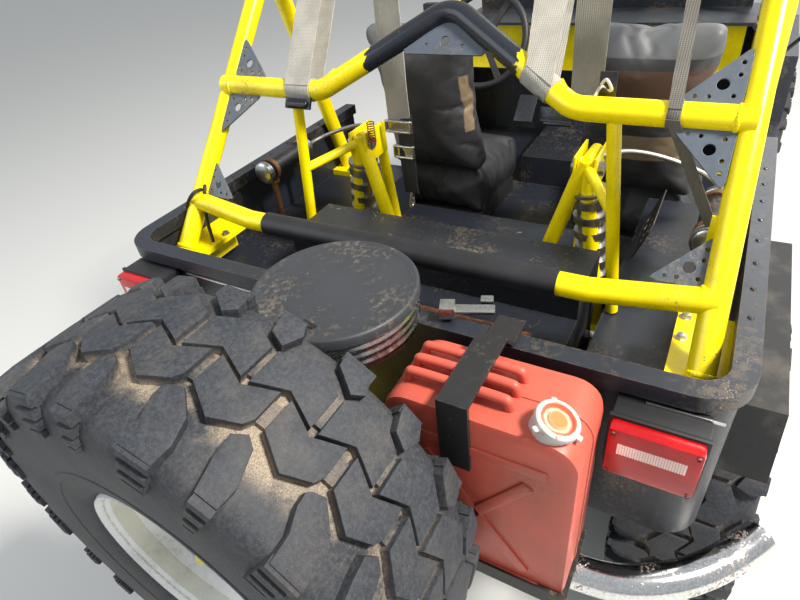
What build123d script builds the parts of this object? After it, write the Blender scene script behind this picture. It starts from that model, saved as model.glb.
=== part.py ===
"""Short-wheelbase off-road utility vehicle with an open tub, a tube cage and a rear spare wheel.

Millimetres. +X forward, +Y left, +Z up. The origin is on the ground, midway along the overall
length, on the centreline. A station is a distance ahead of the tub's rear face.
"""

import math
import os

from build123d import *

# Whole vehicle
WHEELBASE = 2375.0
TRACK = 1460.0
REAR_AXLE_STATION = 640.0
FRONT_OVERHANG = 600.0
RAIL_Z = 1250.0

# Tyres and wheels
TYRE_RADIUS = 457.0
TYRE_WIDTH = 320.0
TREAD_WIDTH = 296.0
BEAD_RADIUS = 192.0
LUG_DEPTH = 18.0
RIM_WIDTH = 254.0
RIM_WALL = 7.0
RIM_FLANGE = 14.0
RIM_DISC_OUT = 38.0
RIM_DISC = 12.0
HUB_RADIUS = 55.0
LUG_COUNT = 18

# Spare wheel behind the tub
SPARE_SET = 400.0
SPARE_Y = 56.0
SPARE_DROP = 237.0

# Tub
TUB_WIDTH = 1500.0
TUB_LENGTH = 2290.0
TUB_CORNER = 95.0
BEAD_OUT = 14.0
BEAD_HEIGHT = 34.0
LIP_WIDTH = 42.0
WALL = 12.0
QUARTER_DEPTH = 413.0
ROCKER_DEPTH = 560.0
BAY_DEPTH = 378.0
FOOT_DEPTH = 488.0
BAY_LENGTH = 1080.0
WELL_DEPTH = 215.0
WELL_INNER = 443.0
WELL_START = 190.0
DOOR_START = 1130.0
DOOR_END = 1930.0
DOOR_DEPTH = 420.0
COWL_RISE = 130.0
COWL_START = 1930.0
COWL_SHOULDER = 110.0
ARCH_TOP_DEPTH = 265.0
ARCH_HALF_BASE = 500.0
ARCH_HALF_TOP = 350.0
FLARE_OUT = 855.0
FLARE_WALL = 8.0

TUNNEL_START = 1610.0
TUNNEL_HALF = 170.0
TUNNEL_RISE = 130.0
HINGE_STATION = 2298.0
HINGE_Y = 350.0
HINGE_RISE = 10.0
HINGE_RADIUS = 8.0
HINGE_PIN = 4.0

# Nose
GRILLE_STATION = 3415.0
GRILLE_DEPTH = 60.0
GRILLE_HALF = 500.0
HOOD_HALF_REAR = 590.0
HOOD_HALF_FRONT = 490.0
HOOD_WALL = 10.0
FENDER_DEPTH = 145.0
FENDER_OUT = 838.0
FENDER_WALL = 8.0
LAMP_RADIUS = 88.0
LAMP_Y = 375.0

# Frame
FRAME_Y = 305.0
FRAME_WIDTH = 70.0
FRAME_HEIGHT = 100.0
BUMPER_DEPTH = 70.0

# Axles and steering
AXLE_RADIUS = 40.0
KINGPIN_Y = 600.0
STEER_ARM = 120.0
STEER_LIMIT_DEG = 27.0
ROD_RADIUS = 15.0
ROD_DROP = 32.0
PIN_RADIUS = 12.0
RUNNING = 0.3
SEAT = 0.3
MOVING_GAP = 6.0

# Cage
TUBE = 25.4
CAGE_FOOT = (128.0, 671.0, -92.0)
CAGE_BAR = (445.0, 660.0, 288.0)
BAR_BEND_Y = 323.0
APEX = (575.0, 457.0)
CROSS_END = (228.0, 667.0, 28.0)
CROSS_BEND = (199.0, 444.0, 18.0)
HOOP_TOP = (708.0, 651.0, 605.0)
HOOP_FOOT = (1000.0, 690.0, -203.0)
HEADER = (2080.0, 640.0, 605.0)
PILLAR_FOOT = (1990.0, 672.0, -484.0)
TOWER_TOP = (610.0, 335.0, 85.0)
SLEEVE_WALL = 4.0

# Load bay
COVER_HALF = 410.0
COVER_TOP = -75.0
COVER_START = 300.0
COVER_END = 490.0
STEP_START = 195.0
STEP_TOP = -150.0

# Rear panel fittings
CAN_WIDTH = 345.0
CAN_DEPTH = 165.0
CAN_HEIGHT = 470.0
CAN_BACK = 200.0
CAN_RIGHT = 536.0
CAN_TOP = 40.0
STRAP_Y = 332.0
STRAP_WIDTH = 55.0
DRUM_RADIUS = 176.0
DRUM_LIP = 7.0
DRUM_CENTRE = (-53.0, -18.0)
DRUM_TOP = 90.0
LAMP_OUTER_Y = 699.0
LAMP_WIDTH = 150.0
LAMP_HEIGHT = 100.0
LAMP_BACK = 77.0
LAMP_TOP = -38.0

AXLE_Z = TYRE_RADIUS
REAR_REACH = SPARE_SET + TYRE_WIDTH / 2
LENGTH = REAR_REACH + REAR_AXLE_STATION + WHEELBASE + FRONT_OVERHANG
TUB_REAR = REAR_REACH - LENGTH / 2
FRONT_AXLE_STATION = REAR_AXLE_STATION + WHEELBASE


def at(station):
    """X of a station, a distance ahead of the tub's rear face."""
    return TUB_REAR + station


def up(height):
    """Z of a height above the tub's rail."""
    return RAIL_Z + height


def point(place, side=1):
    """A (station, y, height above the rail) place, on the left or mirrored."""
    return Vector(at(place[0]), side * place[1], up(place[2]))


def block(x0, x1, y0, y1, z0, z1):
    """A box between two corners."""
    size = Box(abs(x1 - x0), abs(y1 - y0), abs(z1 - z0))
    return Pos((x0 + x1) / 2, (y0 + y1) / 2, (z0 + z1) / 2) * size


def rod(start, end, radius):
    """A round bar between two points."""
    start, end = Vector(start), Vector(end)
    plane = Plane(origin=start, z_dir=end - start)
    return plane * Cylinder(radius, (end - start).length, align=(Align.CENTER, Align.CENTER, Align.MIN))


def pipe(points, radius, bend):
    """A round tube along points, with every corner bent to one radius."""
    path = FilletPolyline(*points, radius=bend)
    start = Plane(origin=path @ 0, z_dir=path % 0)
    return sweep(start * Circle(radius), path=path)


def profile_y(points, y0, y1):
    """A prism of an outline in X and Z, between two values of Y."""
    outline = make_face(Polyline(*[(x, y0, z) for x, z in points], close=True))
    return extrude(outline, amount=y1 - y0, dir=(0, 1, 0))


def profile_x(points, x0, x1):
    """A prism of an outline in Y and Z, between two values of X."""
    outline = make_face(Polyline(*[(x0, y, z) for y, z in points], close=True))
    return extrude(outline, amount=x1 - x0, dir=(1, 0, 0))


def profile_z(points, z0, z1):
    """A prism of an outline in X and Y, between two values of Z."""
    outline = make_face(Polyline(*[(x, y, z0) for x, y in points], close=True))
    return extrude(outline, amount=z1 - z0, dir=(0, 0, 1))


def mirrored(shape):
    """The same piece on the other side of the vehicle."""
    return mirror(shape, about=Plane.XZ)


def pair(shape):
    """A piece and its mirror image, as one shape."""
    return [shape, mirrored(shape)]


def fuse(shapes):
    """One solid out of touching or crossing ones."""
    whole = shapes[0]
    for shape in shapes[1:]:
        whole = whole + shape
    return whole


# Tub


def plan(rear, front, half, corner, z0, z1):
    """A slab with rounded rear corners."""
    slab = block(at(rear), at(front), -half, half, up(z0), up(z1))
    if corner <= 0:
        return slab
    edges = slab.edges().filter_by(Axis.Z).sort_by(Axis.X)[:2]
    return fillet(edges, corner)


def arch_cut(y0, y1, grow=0.0):
    """The rear wheel opening in the tub's side."""
    base = up(-ROCKER_DEPTH) - 2 * WALL
    top = up(-ARCH_TOP_DEPTH) + grow
    middle = at(REAR_AXLE_STATION)
    points = [
        (middle - ARCH_HALF_BASE - grow, base),
        (middle - ARCH_HALF_TOP - grow / 2, top),
        (middle + ARCH_HALF_TOP + grow / 2, top),
        (middle + ARCH_HALF_BASE + grow, base),
    ]
    return profile_y(points, y0, y1)


def cowl_points(inset):
    """The cowl's section, from the floor up over the dash."""
    half = TUB_WIDTH / 2 - BEAD_OUT - inset
    shoulder = half - COWL_SHOULDER
    return [
        (-half, up(-ROCKER_DEPTH)),
        (half, up(-ROCKER_DEPTH)),
        (half, up(0)),
        (shoulder, up(COWL_RISE) - inset),
        (-shoulder, up(COWL_RISE) - inset),
        (-half, up(0)),
    ]


def tub():
    """Body tub: one skin with floor, rear and side walls, wheel boxes, sills, cowl and firewall."""
    half = TUB_WIDTH / 2 - BEAD_OUT
    inner = half - WALL
    corner = TUB_CORNER - BEAD_OUT
    low = -ROCKER_DEPTH
    skin = plan(BEAD_OUT, TUB_LENGTH, half, corner, low, 0)
    skin -= block(at(-1), at(WELL_START), -half, half, up(low - 1), up(-QUARTER_DEPTH))
    bay = plan(BEAD_OUT + WALL, WELL_START, inner, corner - WALL, -BAY_DEPTH, 1)
    bay += block(at(WELL_START - 1), at(BAY_LENGTH), -WELL_INNER, WELL_INNER, up(-BAY_DEPTH), up(1))
    bay += block(at(WELL_START - 1), at(BAY_LENGTH), -inner, inner, up(-WELL_DEPTH), up(1))
    skin -= bay
    skin -= block(at(BAY_LENGTH - 1), at(TUB_LENGTH - WALL), -inner, inner, up(-FOOT_DEPTH), up(1))
    skin -= block(at(BAY_LENGTH + WALL), at(TUB_LENGTH + 1), -inner, inner, up(low - 1), up(-FOOT_DEPTH - WALL))
    under = plan(BEAD_OUT + WALL, BAY_LENGTH + WALL + 1, inner, corner - WALL, low - 1, -BAY_DEPTH - WALL)
    skin -= under
    for side in (1, -1):
        low_y, high_y = sorted((side * (WELL_INNER + WALL), side * inner))
        well = block(at(WELL_START + WALL), at(BAY_LENGTH - WALL), low_y, high_y, up(low), up(-WELL_DEPTH - WALL))
        skin -= well
        skin -= arch_cut(*sorted((side * (inner - 1), side * (half + 1))))
    door = block(at(DOOR_START), at(DOOR_END), -half - 1, half + 1, up(-DOOR_DEPTH), up(1))
    skin -= fillet(door.edges().filter_by(Axis.Y).group_by(Axis.Z)[0], 70)
    lip = plan(0, DOOR_START, TUB_WIDTH / 2, TUB_CORNER, -BEAD_HEIGHT, 0)
    lip -= plan(LIP_WIDTH, DOOR_START + 1, TUB_WIDTH / 2 - LIP_WIDTH, TUB_CORNER - LIP_WIDTH, -BEAD_HEIGHT - 1, 1)
    cowl = profile_x(cowl_points(0), at(COWL_START), at(TUB_LENGTH))
    cowl -= profile_x(cowl_points(WALL), at(COWL_START - 1), at(TUB_LENGTH - WALL))
    cowl -= block(at(COWL_START - 1), at(TUB_LENGTH + 1), -half, half, up(low - 1), up(-1))
    tunnel = block(at(TUNNEL_START), at(TUB_LENGTH - 1), -TUNNEL_HALF, TUNNEL_HALF, up(-FOOT_DEPTH - 1),
                   up(-FOOT_DEPTH + TUNNEL_RISE))
    hollow = block(at(TUNNEL_START + WALL), at(TUB_LENGTH + 1), -TUNNEL_HALF + WALL, TUNNEL_HALF - WALL,
                   up(-ROCKER_DEPTH - 1), up(-FOOT_DEPTH + TUNNEL_RISE - WALL))
    whole = skin + lip + cowl + tunnel - hollow
    for side in (1, -1):
        whole -= pillar(side, TUBE + 3)
        whole += hinge_lugs(side)
    for side in (1, -1):
        low_y, high_y = sorted((side * 290.0, side * (WELL_INNER - 3)))
        whole -= block(at(520), at(720), low_y, high_y, up(-BAY_DEPTH - 2 * WALL), up(-BAY_DEPTH + 1))
    return whole


def pillar(side, radius):
    """A front leg of the cage, from the floor up to the header bar."""
    return rod(point(PILLAR_FOOT, side), point(HEADER, side), radius)


def hinge_point(side):
    """Middle of one hood hinge, on the hinge's axis."""
    return Vector(at(HINGE_STATION), side * HINGE_Y, up(COWL_RISE + HINGE_RISE))


def along_y(middle, y0, y1, radius):
    """A bar along Y through a middle point."""
    return rod((middle.X, middle.Y + y0, middle.Z), (middle.X, middle.Y + y1, middle.Z), radius)


def hinge_lugs(side):
    """The cowl's half of a hood hinge: a leaf, two lugs and the pin."""
    middle = hinge_point(side)
    leaf = block(middle.X - 46, middle.X - 8, middle.Y - 45, middle.Y + 45, up(COWL_RISE - 1), up(COWL_RISE + 5))
    pieces = [leaf, along_y(middle, -45, 45, HINGE_PIN)]
    for y0, y1 in ((-45, -32), (32, 45)):
        pieces.append(along_y(middle, y0, y1, HINGE_RADIUS))
        pieces.append(block(middle.X - 12, middle.X, middle.Y + y0, middle.Y + y1, up(COWL_RISE + 2),
                            up(COWL_RISE + HINGE_RISE + 2)))
    return fuse(pieces)


def hinge_barrel(side):
    """The hood's half of a hinge: a barrel and its leaf."""
    middle = hinge_point(side)
    leaf = block(middle.X, middle.X + 40, middle.Y - 31, middle.Y + 31, up(COWL_RISE - 4), up(COWL_RISE + 6))
    return along_y(middle, -31, 31, HINGE_RADIUS) + leaf - along_y(middle, -32, 32, HINGE_PIN + RUNNING)


def rear_flares():
    """Black rubber arch flares on the tub's rear wheel openings."""
    out = TUB_WIDTH / 2 - BEAD_OUT
    band = arch_cut(out + SEAT, FLARE_OUT, FLARE_WALL) - arch_cut(out - 1, FLARE_OUT + 1)
    band -= block(at(-500), at(3000), 0, FLARE_OUT + 2, 0, up(-QUARTER_DEPTH + 10))
    return pair(band)


# Frame


def frame():
    """Ladder frame: two side rails that rise over the axles, joined by crossmembers."""
    # station and height of the rail's underside
    table = [
        (10, 690),
        (240, 690),
        (420, 700),
        (860, 700),
        (1060, 600),
        (2380, 600),
        (2600, 640),
        (FRONT_AXLE_STATION + FRONT_OVERHANG - BUMPER_DEPTH - SEAT, 640),
    ]
    bottom = [(at(station), low) for station, low in table]
    top = [(x, z + FRAME_HEIGHT) for x, z in reversed(bottom)]
    inner = FRAME_Y - FRAME_WIDTH / 2
    left = profile_y(bottom + top, inner, inner + FRAME_WIDTH)
    # station, underside, length, height
    crossmembers = [
        (10, 690, 60, 100),
        (1080, 612, 70, 70),
        (1960, 602, 80, 44),
        (2390, 605, 50, 42),
        (3480, 645, 60, 80),
    ]
    pieces = pair(left)
    for station, low, length, height in crossmembers:
        pieces.append(block(at(station), at(station + length), -inner - 1, inner + 1, low, low + height))
    # station and half width of the body mounts, up to the tub's floor
    mounts = [(1200, 60), (1900, 60), (2200, 60)]
    for station, length in mounts:
        for side in (1, -1):
            y0, y1 = sorted((side * (inner + 5), side * (inner + FRAME_WIDTH - 5)))
            top_z = up(-FOOT_DEPTH - WALL) - SEAT
            pieces.append(block(at(station), at(station + length), y0, y1, 690, top_z))
    for side in (1, -1):
        y0, y1 = sorted((side * (inner + 5), side * (inner + FRAME_WIDTH - 5)))
        pieces.append(block(at(120), at(180), y0, y1, 780, up(-BAY_DEPTH - WALL) - SEAT))
    return fuse(pieces)


# Wheels


def tyre(centre_y=0.0):
    """Mud tyre standing on its tread: carcass, staggered centre lugs and side lugs."""
    half = TYRE_WIDTH / 2
    tread = TREAD_WIDTH / 2
    base = TYRE_RADIUS - LUG_DEPTH
    bead = RIM_WIDTH / 2 - SEAT
    seat_top = BEAD_RADIUS + RIM_FLANGE + 2
    points = [
        (BEAD_RADIUS, -bead),
        (BEAD_RADIUS, bead),
        (seat_top, bead),
        (BEAD_RADIUS + 55, half - 6),
        (BEAD_RADIUS + 150, half),
        (base - 30, half - 14),
        (base, tread - 22),
        (base, -tread + 22),
        (base - 30, -half + 14),
        (BEAD_RADIUS + 150, -half),
        (BEAD_RADIUS + 55, -half + 6),
        (seat_top, -bead),
    ]
    outline = make_face(Polyline(*[(r, y, 0) for r, y in points], close=True))
    carcass = revolve(outline, axis=Axis.Y)
    return carcass


def tread_ring():
    """Plain ring out to the lugs' tips."""
    tread = TREAD_WIDTH / 2
    outer = Cylinder(TYRE_RADIUS, 2 * tread - 20)
    inner = Cylinder(TYRE_RADIUS - LUG_DEPTH - 1, 2 * tread)
    return Rot(90, 0, 0) * (outer - inner)


def tyre_at(x, y, z):
    return Pos(x, y, z) * (tyre() + tread_ring())


def rim(outward=1, mounted=True):
    """Steel wheel: dropped barrel with flanges, and a dished disc with round windows."""
    half = RIM_WIDTH / 2
    outer = BEAD_RADIUS - SEAT
    flange = outer + RIM_FLANGE
    inner = outer - RIM_WALL
    points = [
        (inner, -half + 10),
        (flange - 4, -half - 9),
        (flange, -half),
        (outer, -half),
        (outer, -half + 40),
        (outer - 18, -half + 60),
        (outer - 18, half - 60),
        (outer, half - 40),
        (outer, half),
        (flange, half),
        (flange - 4, half + 9),
        (inner, half - 10),
        (inner, half - 42),
        (inner - 18, half - 62),
        (inner - 18, -half + 62),
        (inner, -half + 42),
    ]
    barrel = revolve(make_face(Polyline(*[(r, y, 0) for r, y in points], close=True)), axis=Axis.Y)
    disc_y = outward * RIM_DISC_OUT
    disc = Rot(90, 0, 0) * Cylinder(inner - 12, RIM_DISC)
    for turn in range(8):
        angle = math.radians(360 / 8 * turn)
        place = Pos(122 * math.cos(angle), 0, 122 * math.sin(angle))
        disc -= place * (Rot(90, 0, 0) * Cylinder(27, 2 * RIM_DISC))
    disc -= Rot(90, 0, 0) * Cylinder(HUB_RADIUS + RUNNING, 2 * RIM_DISC)
    for turn in range(5):
        angle = math.radians(360 / 5 * turn)
        if mounted:
            place = Pos(78 * math.cos(angle), outward * RIM_DISC, 78 * math.sin(angle))
            disc += place * (Rot(90, 0, 0) * Cylinder(10, 24))
        else:
            place = Pos(78 * math.cos(angle), 0, 78 * math.sin(angle))
            disc -= place * (Rot(90, 0, 0) * Cylinder(8, 2 * RIM_DISC))
    return barrel + Pos(0, disc_y, 0) * disc


def wheel_places():
    """Name, x, y and outward side of the four road wheels."""
    rows = []
    for end, station in (("rear", REAR_AXLE_STATION), ("front", FRONT_AXLE_STATION)):
        for name, side in (("left", 1), ("right", -1)):
            rows.append((end + "_" + name, at(station), side * TRACK / 2, side))
    return rows


# Axles and steering


def hub_face(side, backwards=0.0):
    """Y of the wheel disc's inner face, less a gap."""
    return side * (TRACK / 2 + RIM_DISC_OUT - RIM_DISC / 2 - backwards)


def hub_and_drum(x, side, inner_y):
    """Brake drum and the spigot that the wheel turns on."""
    drum_end = hub_face(side, MOVING_GAP)
    drum = rod((x, inner_y, AXLE_Z), (x, drum_end, AXLE_Z), 140)
    spigot = rod((x, inner_y, AXLE_Z), (x, side * (TRACK / 2 + RIM_DISC_OUT + 30), AXLE_Z), HUB_RADIUS)
    return drum + spigot


def differential(x, y, radius):
    """Round differential housing with a pinion nose."""
    return Pos(x, y, AXLE_Z) * (Rot(90, 0, 0) * Cylinder(radius, 150))


def rear_axle():
    """Rear axle: tubes, differential, spring brackets and brake drums with spigots."""
    x = at(REAR_AXLE_STATION)
    tube_y = TRACK / 2 - 40
    pieces = [rod((x, -tube_y, AXLE_Z), (x, tube_y, AXLE_Z), AXLE_RADIUS), differential(x, 40, 125)]
    pieces.append(rod((x, 40, AXLE_Z), (x + 230, 40, AXLE_Z), 45))
    for side in (1, -1):
        pieces.append(hub_and_drum(x, side, side * (TRACK / 2 - 50)))
    return fuse(pieces)


def front_axle():
    """Front axle: tubes, offset differential and the forked yokes that hold the knuckles."""
    x = at(FRONT_AXLE_STATION)
    pieces = [rod((x, -555, AXLE_Z), (x, 555, AXLE_Z), AXLE_RADIUS), differential(x - 15, 180, 100)]
    pieces.append(rod((x, 180, AXLE_Z), (x - 230, 180, AXLE_Z), 45))
    for side in (1, -1):
        y0, y1 = sorted((side * 536, side * 556))
        pieces.append(block(x - 40, x + 40, y0, y1, AXLE_Z - 100, AXLE_Z + 100))
        y0, y1 = sorted((side * 536, side * (KINGPIN_Y + 30)))
        for low in (-100, 75):
            ear = block(x - 32, x + 32, y0, y1, AXLE_Z + low, AXLE_Z + low + 25)
            bore = rod((x, side * KINGPIN_Y, AXLE_Z + low - 1), (x, side * KINGPIN_Y, AXLE_Z + low + 26),
                       PIN_RADIUS + RUNNING)
            pieces.append(ear - bore)
    return fuse(pieces)


def knuckle(side):
    """Steering knuckle: kingpins, spindle, steering arm, brake drum and wheel spigot."""
    x = at(FRONT_AXLE_STATION)
    y = side * KINGPIN_Y
    core = rod((x, y, AXLE_Z - 69), (x, y, AXLE_Z + 69), 30)
    pins = rod((x, y, AXLE_Z - 98), (x, y, AXLE_Z + 98), PIN_RADIUS)
    spindle = rod((x, y, AXLE_Z), (x, side * (TRACK / 2 - 20), AXLE_Z), 48)
    arm = block(x, x + STEER_ARM, y - 13, y + 13, AXLE_Z - 10, AXLE_Z + 10)
    eye = rod((x + STEER_ARM, y, AXLE_Z - 10), (x + STEER_ARM, y, AXLE_Z + 10), 22)
    return fuse([core, pins, spindle, arm, eye, hub_and_drum(x, side, side * (TRACK / 2 - 40))])


def steering_rods():
    """Tie rod between the knuckles' arms, and the drag link from the pitman arm."""
    x = at(FRONT_AXLE_STATION) + STEER_ARM
    z = AXLE_Z - 10 - ROD_DROP
    bar = rod((x, -KINGPIN_Y, z), (x, KINGPIN_Y, z), ROD_RADIUS)
    pieces = [bar]
    for side in (1, -1):
        y = side * KINGPIN_Y
        pieces.append(rod((x, y, z - 20), (x, y, z + 24), 20))
        pieces.append(rod((x, y, z), (x, y, AXLE_Z - 10 - 0.6), 9))
    end = pitman_end()
    pieces.append(rod((x, -470, z), (end.X, end.Y, end.Z - 34), 13))
    pieces.append(rod((end.X, end.Y, end.Z - 50), (end.X, end.Y, end.Z - 16), 20))
    pieces.append(rod((end.X, end.Y, end.Z - 30), (end.X, end.Y, end.Z - 8.6), 9))
    return fuse(pieces)


PITMAN_STATION = 3330.0
PITMAN_Y = 185.0
PITMAN_Z = 500.0


def pitman_end():
    """The pitman arm's lower end, where the drag link hangs."""
    return Vector(at(PITMAN_STATION) - STEER_ARM, PITMAN_Y, PITMAN_Z)


def pitman_arm():
    """Pitman arm on the steering box's vertical shaft."""
    end = pitman_end()
    x = at(PITMAN_STATION)
    bar = block(end.X, x, PITMAN_Y - 16, PITMAN_Y + 16, PITMAN_Z - 8, PITMAN_Z + 8)
    boss = rod((x, PITMAN_Y, PITMAN_Z - 8), (x, PITMAN_Y, PITMAN_Z + 40), 26)
    shaft = rod((x, PITMAN_Y, PITMAN_Z + 30), (x, PITMAN_Y, PITMAN_Z + 100), 14)
    return fuse([bar, boss, shaft, rod((end.X, end.Y, PITMAN_Z - 8), (end.X, end.Y, PITMAN_Z + 8), 20)])


WHEEL_CENTRE = (1660.0, 370.0, 120.0)
COLUMN_FOOT = (2266.0, 370.0, -150.0)


def column_axis():
    """Start and direction of the steering column, from the wheel down to the firewall."""
    start = point(WHEEL_CENTRE)
    return start, (point(COLUMN_FOOT) - start).normalized()


def steering_gear():
    """Steering box on the frame, and the column's jacket from the firewall to the wheel."""
    start, along = column_axis()
    end = point(COLUMN_FOOT)
    jacket = rod(start + along * 90, end, 28) - rod(start + along * 80, start + along * 190, 15 + RUNNING)
    x = at(PITMAN_STATION)
    box = block(x - 60, x + 60, PITMAN_Y - 52, FRAME_Y - FRAME_WIDTH / 2 - SEAT, PITMAN_Z + 46, PITMAN_Z + 190)
    box -= rod((x, PITMAN_Y, PITMAN_Z + 40), (x, PITMAN_Y, PITMAN_Z + 103), 14 + RUNNING)
    return [jacket, box]


def steering_wheel():
    """Three-spoke steering wheel on its shaft."""
    start, along = column_axis()
    plane = Plane(origin=start, z_dir=along)
    ring = Torus(185, 14)
    pieces = [ring, Pos(0, 0, 22) * Cylinder(38, 44)]
    for turn in range(3):
        pieces.append(Rot(0, 0, 120 * turn + 30) * (Pos(92, 0, 12) * Box(184, 26, 10)))
    wheel = plane * fuse(pieces)
    return wheel + rod(start + along * 20, start + along * 180, 15)


# Cage and its brackets


def roll_cage():
    """Tube cage: leaning hoop, rear braces, harness bar with its raised middle, cross tube, top bars."""
    pieces = []
    hoop = [point(HOOP_FOOT), point(HOOP_TOP), point(HOOP_TOP, -1), point(HOOP_FOOT, -1)]
    pieces.append(pipe(hoop, TUBE, 110))
    front = [point(PILLAR_FOOT), point(HEADER), point(HEADER, -1), point(PILLAR_FOOT, -1)]
    pieces.append(pipe(front, TUBE, 110))
    bar = [
        point(CAGE_BAR),
        point((CAGE_BAR[0], BAR_BEND_Y, CAGE_BAR[2])),
        point((APEX[0], 0, APEX[1])),
        point((CAGE_BAR[0], BAR_BEND_Y, CAGE_BAR[2]), -1),
        point(CAGE_BAR, -1),
    ]
    pieces.append(pipe(bar, TUBE, 70))
    cross = [point(CROSS_END), point(CROSS_BEND), point(CROSS_BEND, -1), point(CROSS_END, -1)]
    pieces.append(pipe(cross, TUBE, 90))
    for side in (1, -1):
        top = point((HOOP_TOP[0], HOOP_TOP[1] - 12, HOOP_TOP[2] - 40), side)
        pieces.append(rod(point(CAGE_FOOT, side), top, TUBE))
        start = point((HOOP_TOP[0], HOOP_TOP[1] - 105, HOOP_TOP[2]), side)
        end = point((HEADER[0], HEADER[1] - 105, HEADER[2]), side)
        pieces.append(rod(start, end, TUBE))
        pieces.append(foot_plate(side))
        pieces.append(hoop_foot(side))
        pieces.append(pillar_foot(side))
    return fuse(pieces)


def foot_plate(side):
    """Long plate under a rear brace, bolted along the tub's inner side."""
    wall = TUB_WIDTH / 2 - LIP_WIDTH
    y0, y1 = sorted((side * 610, side * (wall - SEAT)))
    low = up(CAGE_FOOT[2] - 12)
    plate = block(at(70), at(340), y0, y1, low, low + 14)
    inner = TUB_WIDTH / 2 - BEAD_OUT - WALL
    y0, y1 = sorted((side * (wall - 12), side * (inner - SEAT)))
    flange = block(at(110), at(340), y0, y1, low - 90, low + 14)
    return plate + flange


def hoop_foot(side):
    """Flat foot of the main hoop on the wheel box."""
    foot = point(HOOP_FOOT, side)
    low = up(-WELL_DEPTH) + SEAT
    y0, y1 = sorted((side * 640, side * 722))
    return block(foot.X - 70, foot.X + 60, y0, y1, low, low + 20)


def pillar_foot(side):
    """Flat foot of a front leg on the cabin floor."""
    foot = point(PILLAR_FOOT, side)
    low = up(-FOOT_DEPTH) + SEAT
    y0, y1 = sorted((side * 620, side * 722))
    return block(foot.X - 60, foot.X + 60, y0, y1, low, low + 10)


def cage_sleeve():
    """Black sleeve over the middle of the lower cross tube."""
    end = CROSS_BEND[1] - 60
    place = point(CROSS_BEND)
    sleeve = rod((place.X, -end, place.Z), (place.X, end, place.Z), TUBE + SLEEVE_WALL)
    return sleeve - rod((place.X, -end - 1, place.Z), (place.X, end + 1, place.Z), TUBE + SEAT)


def shock_towers():
    """Tube towers over the rear axle that hold the tops of the coil-overs."""
    pieces = []
    for side in (1, -1):
        top = point(TOWER_TOP, side)
        floor = up(-BAY_DEPTH) + SEAT
        rear_foot = Vector(at(532), side * 250, floor)
        front_foot = Vector(at(745), side * 250, floor)
        for offset in (-48, 40):
            y0, y1 = sorted((top.Y + offset, top.Y + offset + 8))
            pieces.append(block(top.X - 45, top.X + 45, y0, y1, top.Z - 50, top.Z + 45))
        pieces.append(block(top.X - 45, top.X + 45, *sorted((top.Y - 48, top.Y + 48)), top.Z + 37, top.Z + 45))
        for foot, lean in ((rear_foot, -30), (front_foot, 30)):
            start = foot + Vector(0, 0, 6)
            pieces.append(rod(start, Vector(top.X + lean, top.Y - side * 62, top.Z - 10), 19))
        for foot in (rear_foot, front_foot):
            pieces.append(block(foot.X - 35, foot.X + 35, foot.Y - 35, foot.Y + 35, floor, floor + 8))
    return fuse(pieces[: len(pieces) // 2]) + fuse(pieces[len(pieces) // 2 :])


def coilovers():
    """Rear coil-over shocks, from the towers down to the axle."""
    units = []
    for side in (1, -1):
        top = point(TOWER_TOP, side)
        foot = Vector(at(REAR_AXLE_STATION), side * 440, AXLE_Z + 75)
        along = (foot - top).normalized()
        eye = rod(top - Vector(0, 39.7, 0), top + Vector(0, 39.7, 0), 18)
        body = rod(top + along * 15, top + along * 330, 26)
        shaft = rod(top + along * 320, foot - along * 10, 9)
        cups = rod(top + along * 60, top + along * 68, 46) + rod(foot - along * 60, foot - along * 52, 46)
        lower_eye = rod(foot - Vector(0, 20, 0), foot + Vector(0, 20, 0), 20)
        coils = []
        count = 15
        gap = ((foot - along * 60) - (top + along * 68)).length / count
        for turn in range(count):
            plane = Plane(origin=top + along * (68 + gap * (turn + 0.5)), z_dir=along)
            coils.append(plane * (Cylinder(44, gap * 0.45) - Cylinder(33, gap)))
        spine = rod(top + along * 60, foot - along * 52, 34) - rod(top + along * 50, foot - along * 40, 32)
        units.append(fuse([eye, body, shaft, cups, lower_eye, spine] + coils))
    return units


def cover_box():
    """Painted sheet cover across the load bay, stepped down at the rear."""
    low = up(-BAY_DEPTH) + SEAT
    points = [
        (at(STEP_START), low),
        (at(COVER_END), low),
        (at(COVER_END), up(COVER_TOP)),
        (at(COVER_START), up(COVER_TOP)),
        (at(COVER_START), up(STEP_TOP)),
        (at(STEP_START), up(STEP_TOP)),
    ]
    return profile_y(points, -COVER_HALF, COVER_HALF)


def seats():
    """Two bucket seats: cushion and reclined back as one closed shape each."""
    floor = up(-FOOT_DEPTH) + SEAT
    outline = [
        (at(1120), floor),
        (at(1560), floor),
        (at(1590), up(-250)),
        (at(1560), up(-215)),
        (at(1270), up(-240)),
        (at(1130), up(330)),
        (at(1010), up(335)),
        (at(1005), up(300)),
        (at(1120), up(-240)),
    ]
    seat = profile_y(outline, 142, 598)
    return pair(seat)


def harness():
    """Wide webbing straps from the hoop's top bar down to the harness bar."""
    # y of the strap's middle
    straps = []
    for middle in (410, -410):
        y0, y1 = middle - 38, middle + 38
        low = up(CAGE_BAR[2] + TUBE + SEAT)
        high = up(HOOP_TOP[2] - TUBE - SEAT)
        x0, x1 = at(CAGE_BAR[0]), at(HOOP_TOP[0])
        points = [(x0, low + 6), (x0 + 3, low + 6), (x1 + 3, high), (x1, high)]
        if abs(middle) > BAR_BEND_Y + 40:
            straps.append(profile_y(points, y0, y1))
    return straps


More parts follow.
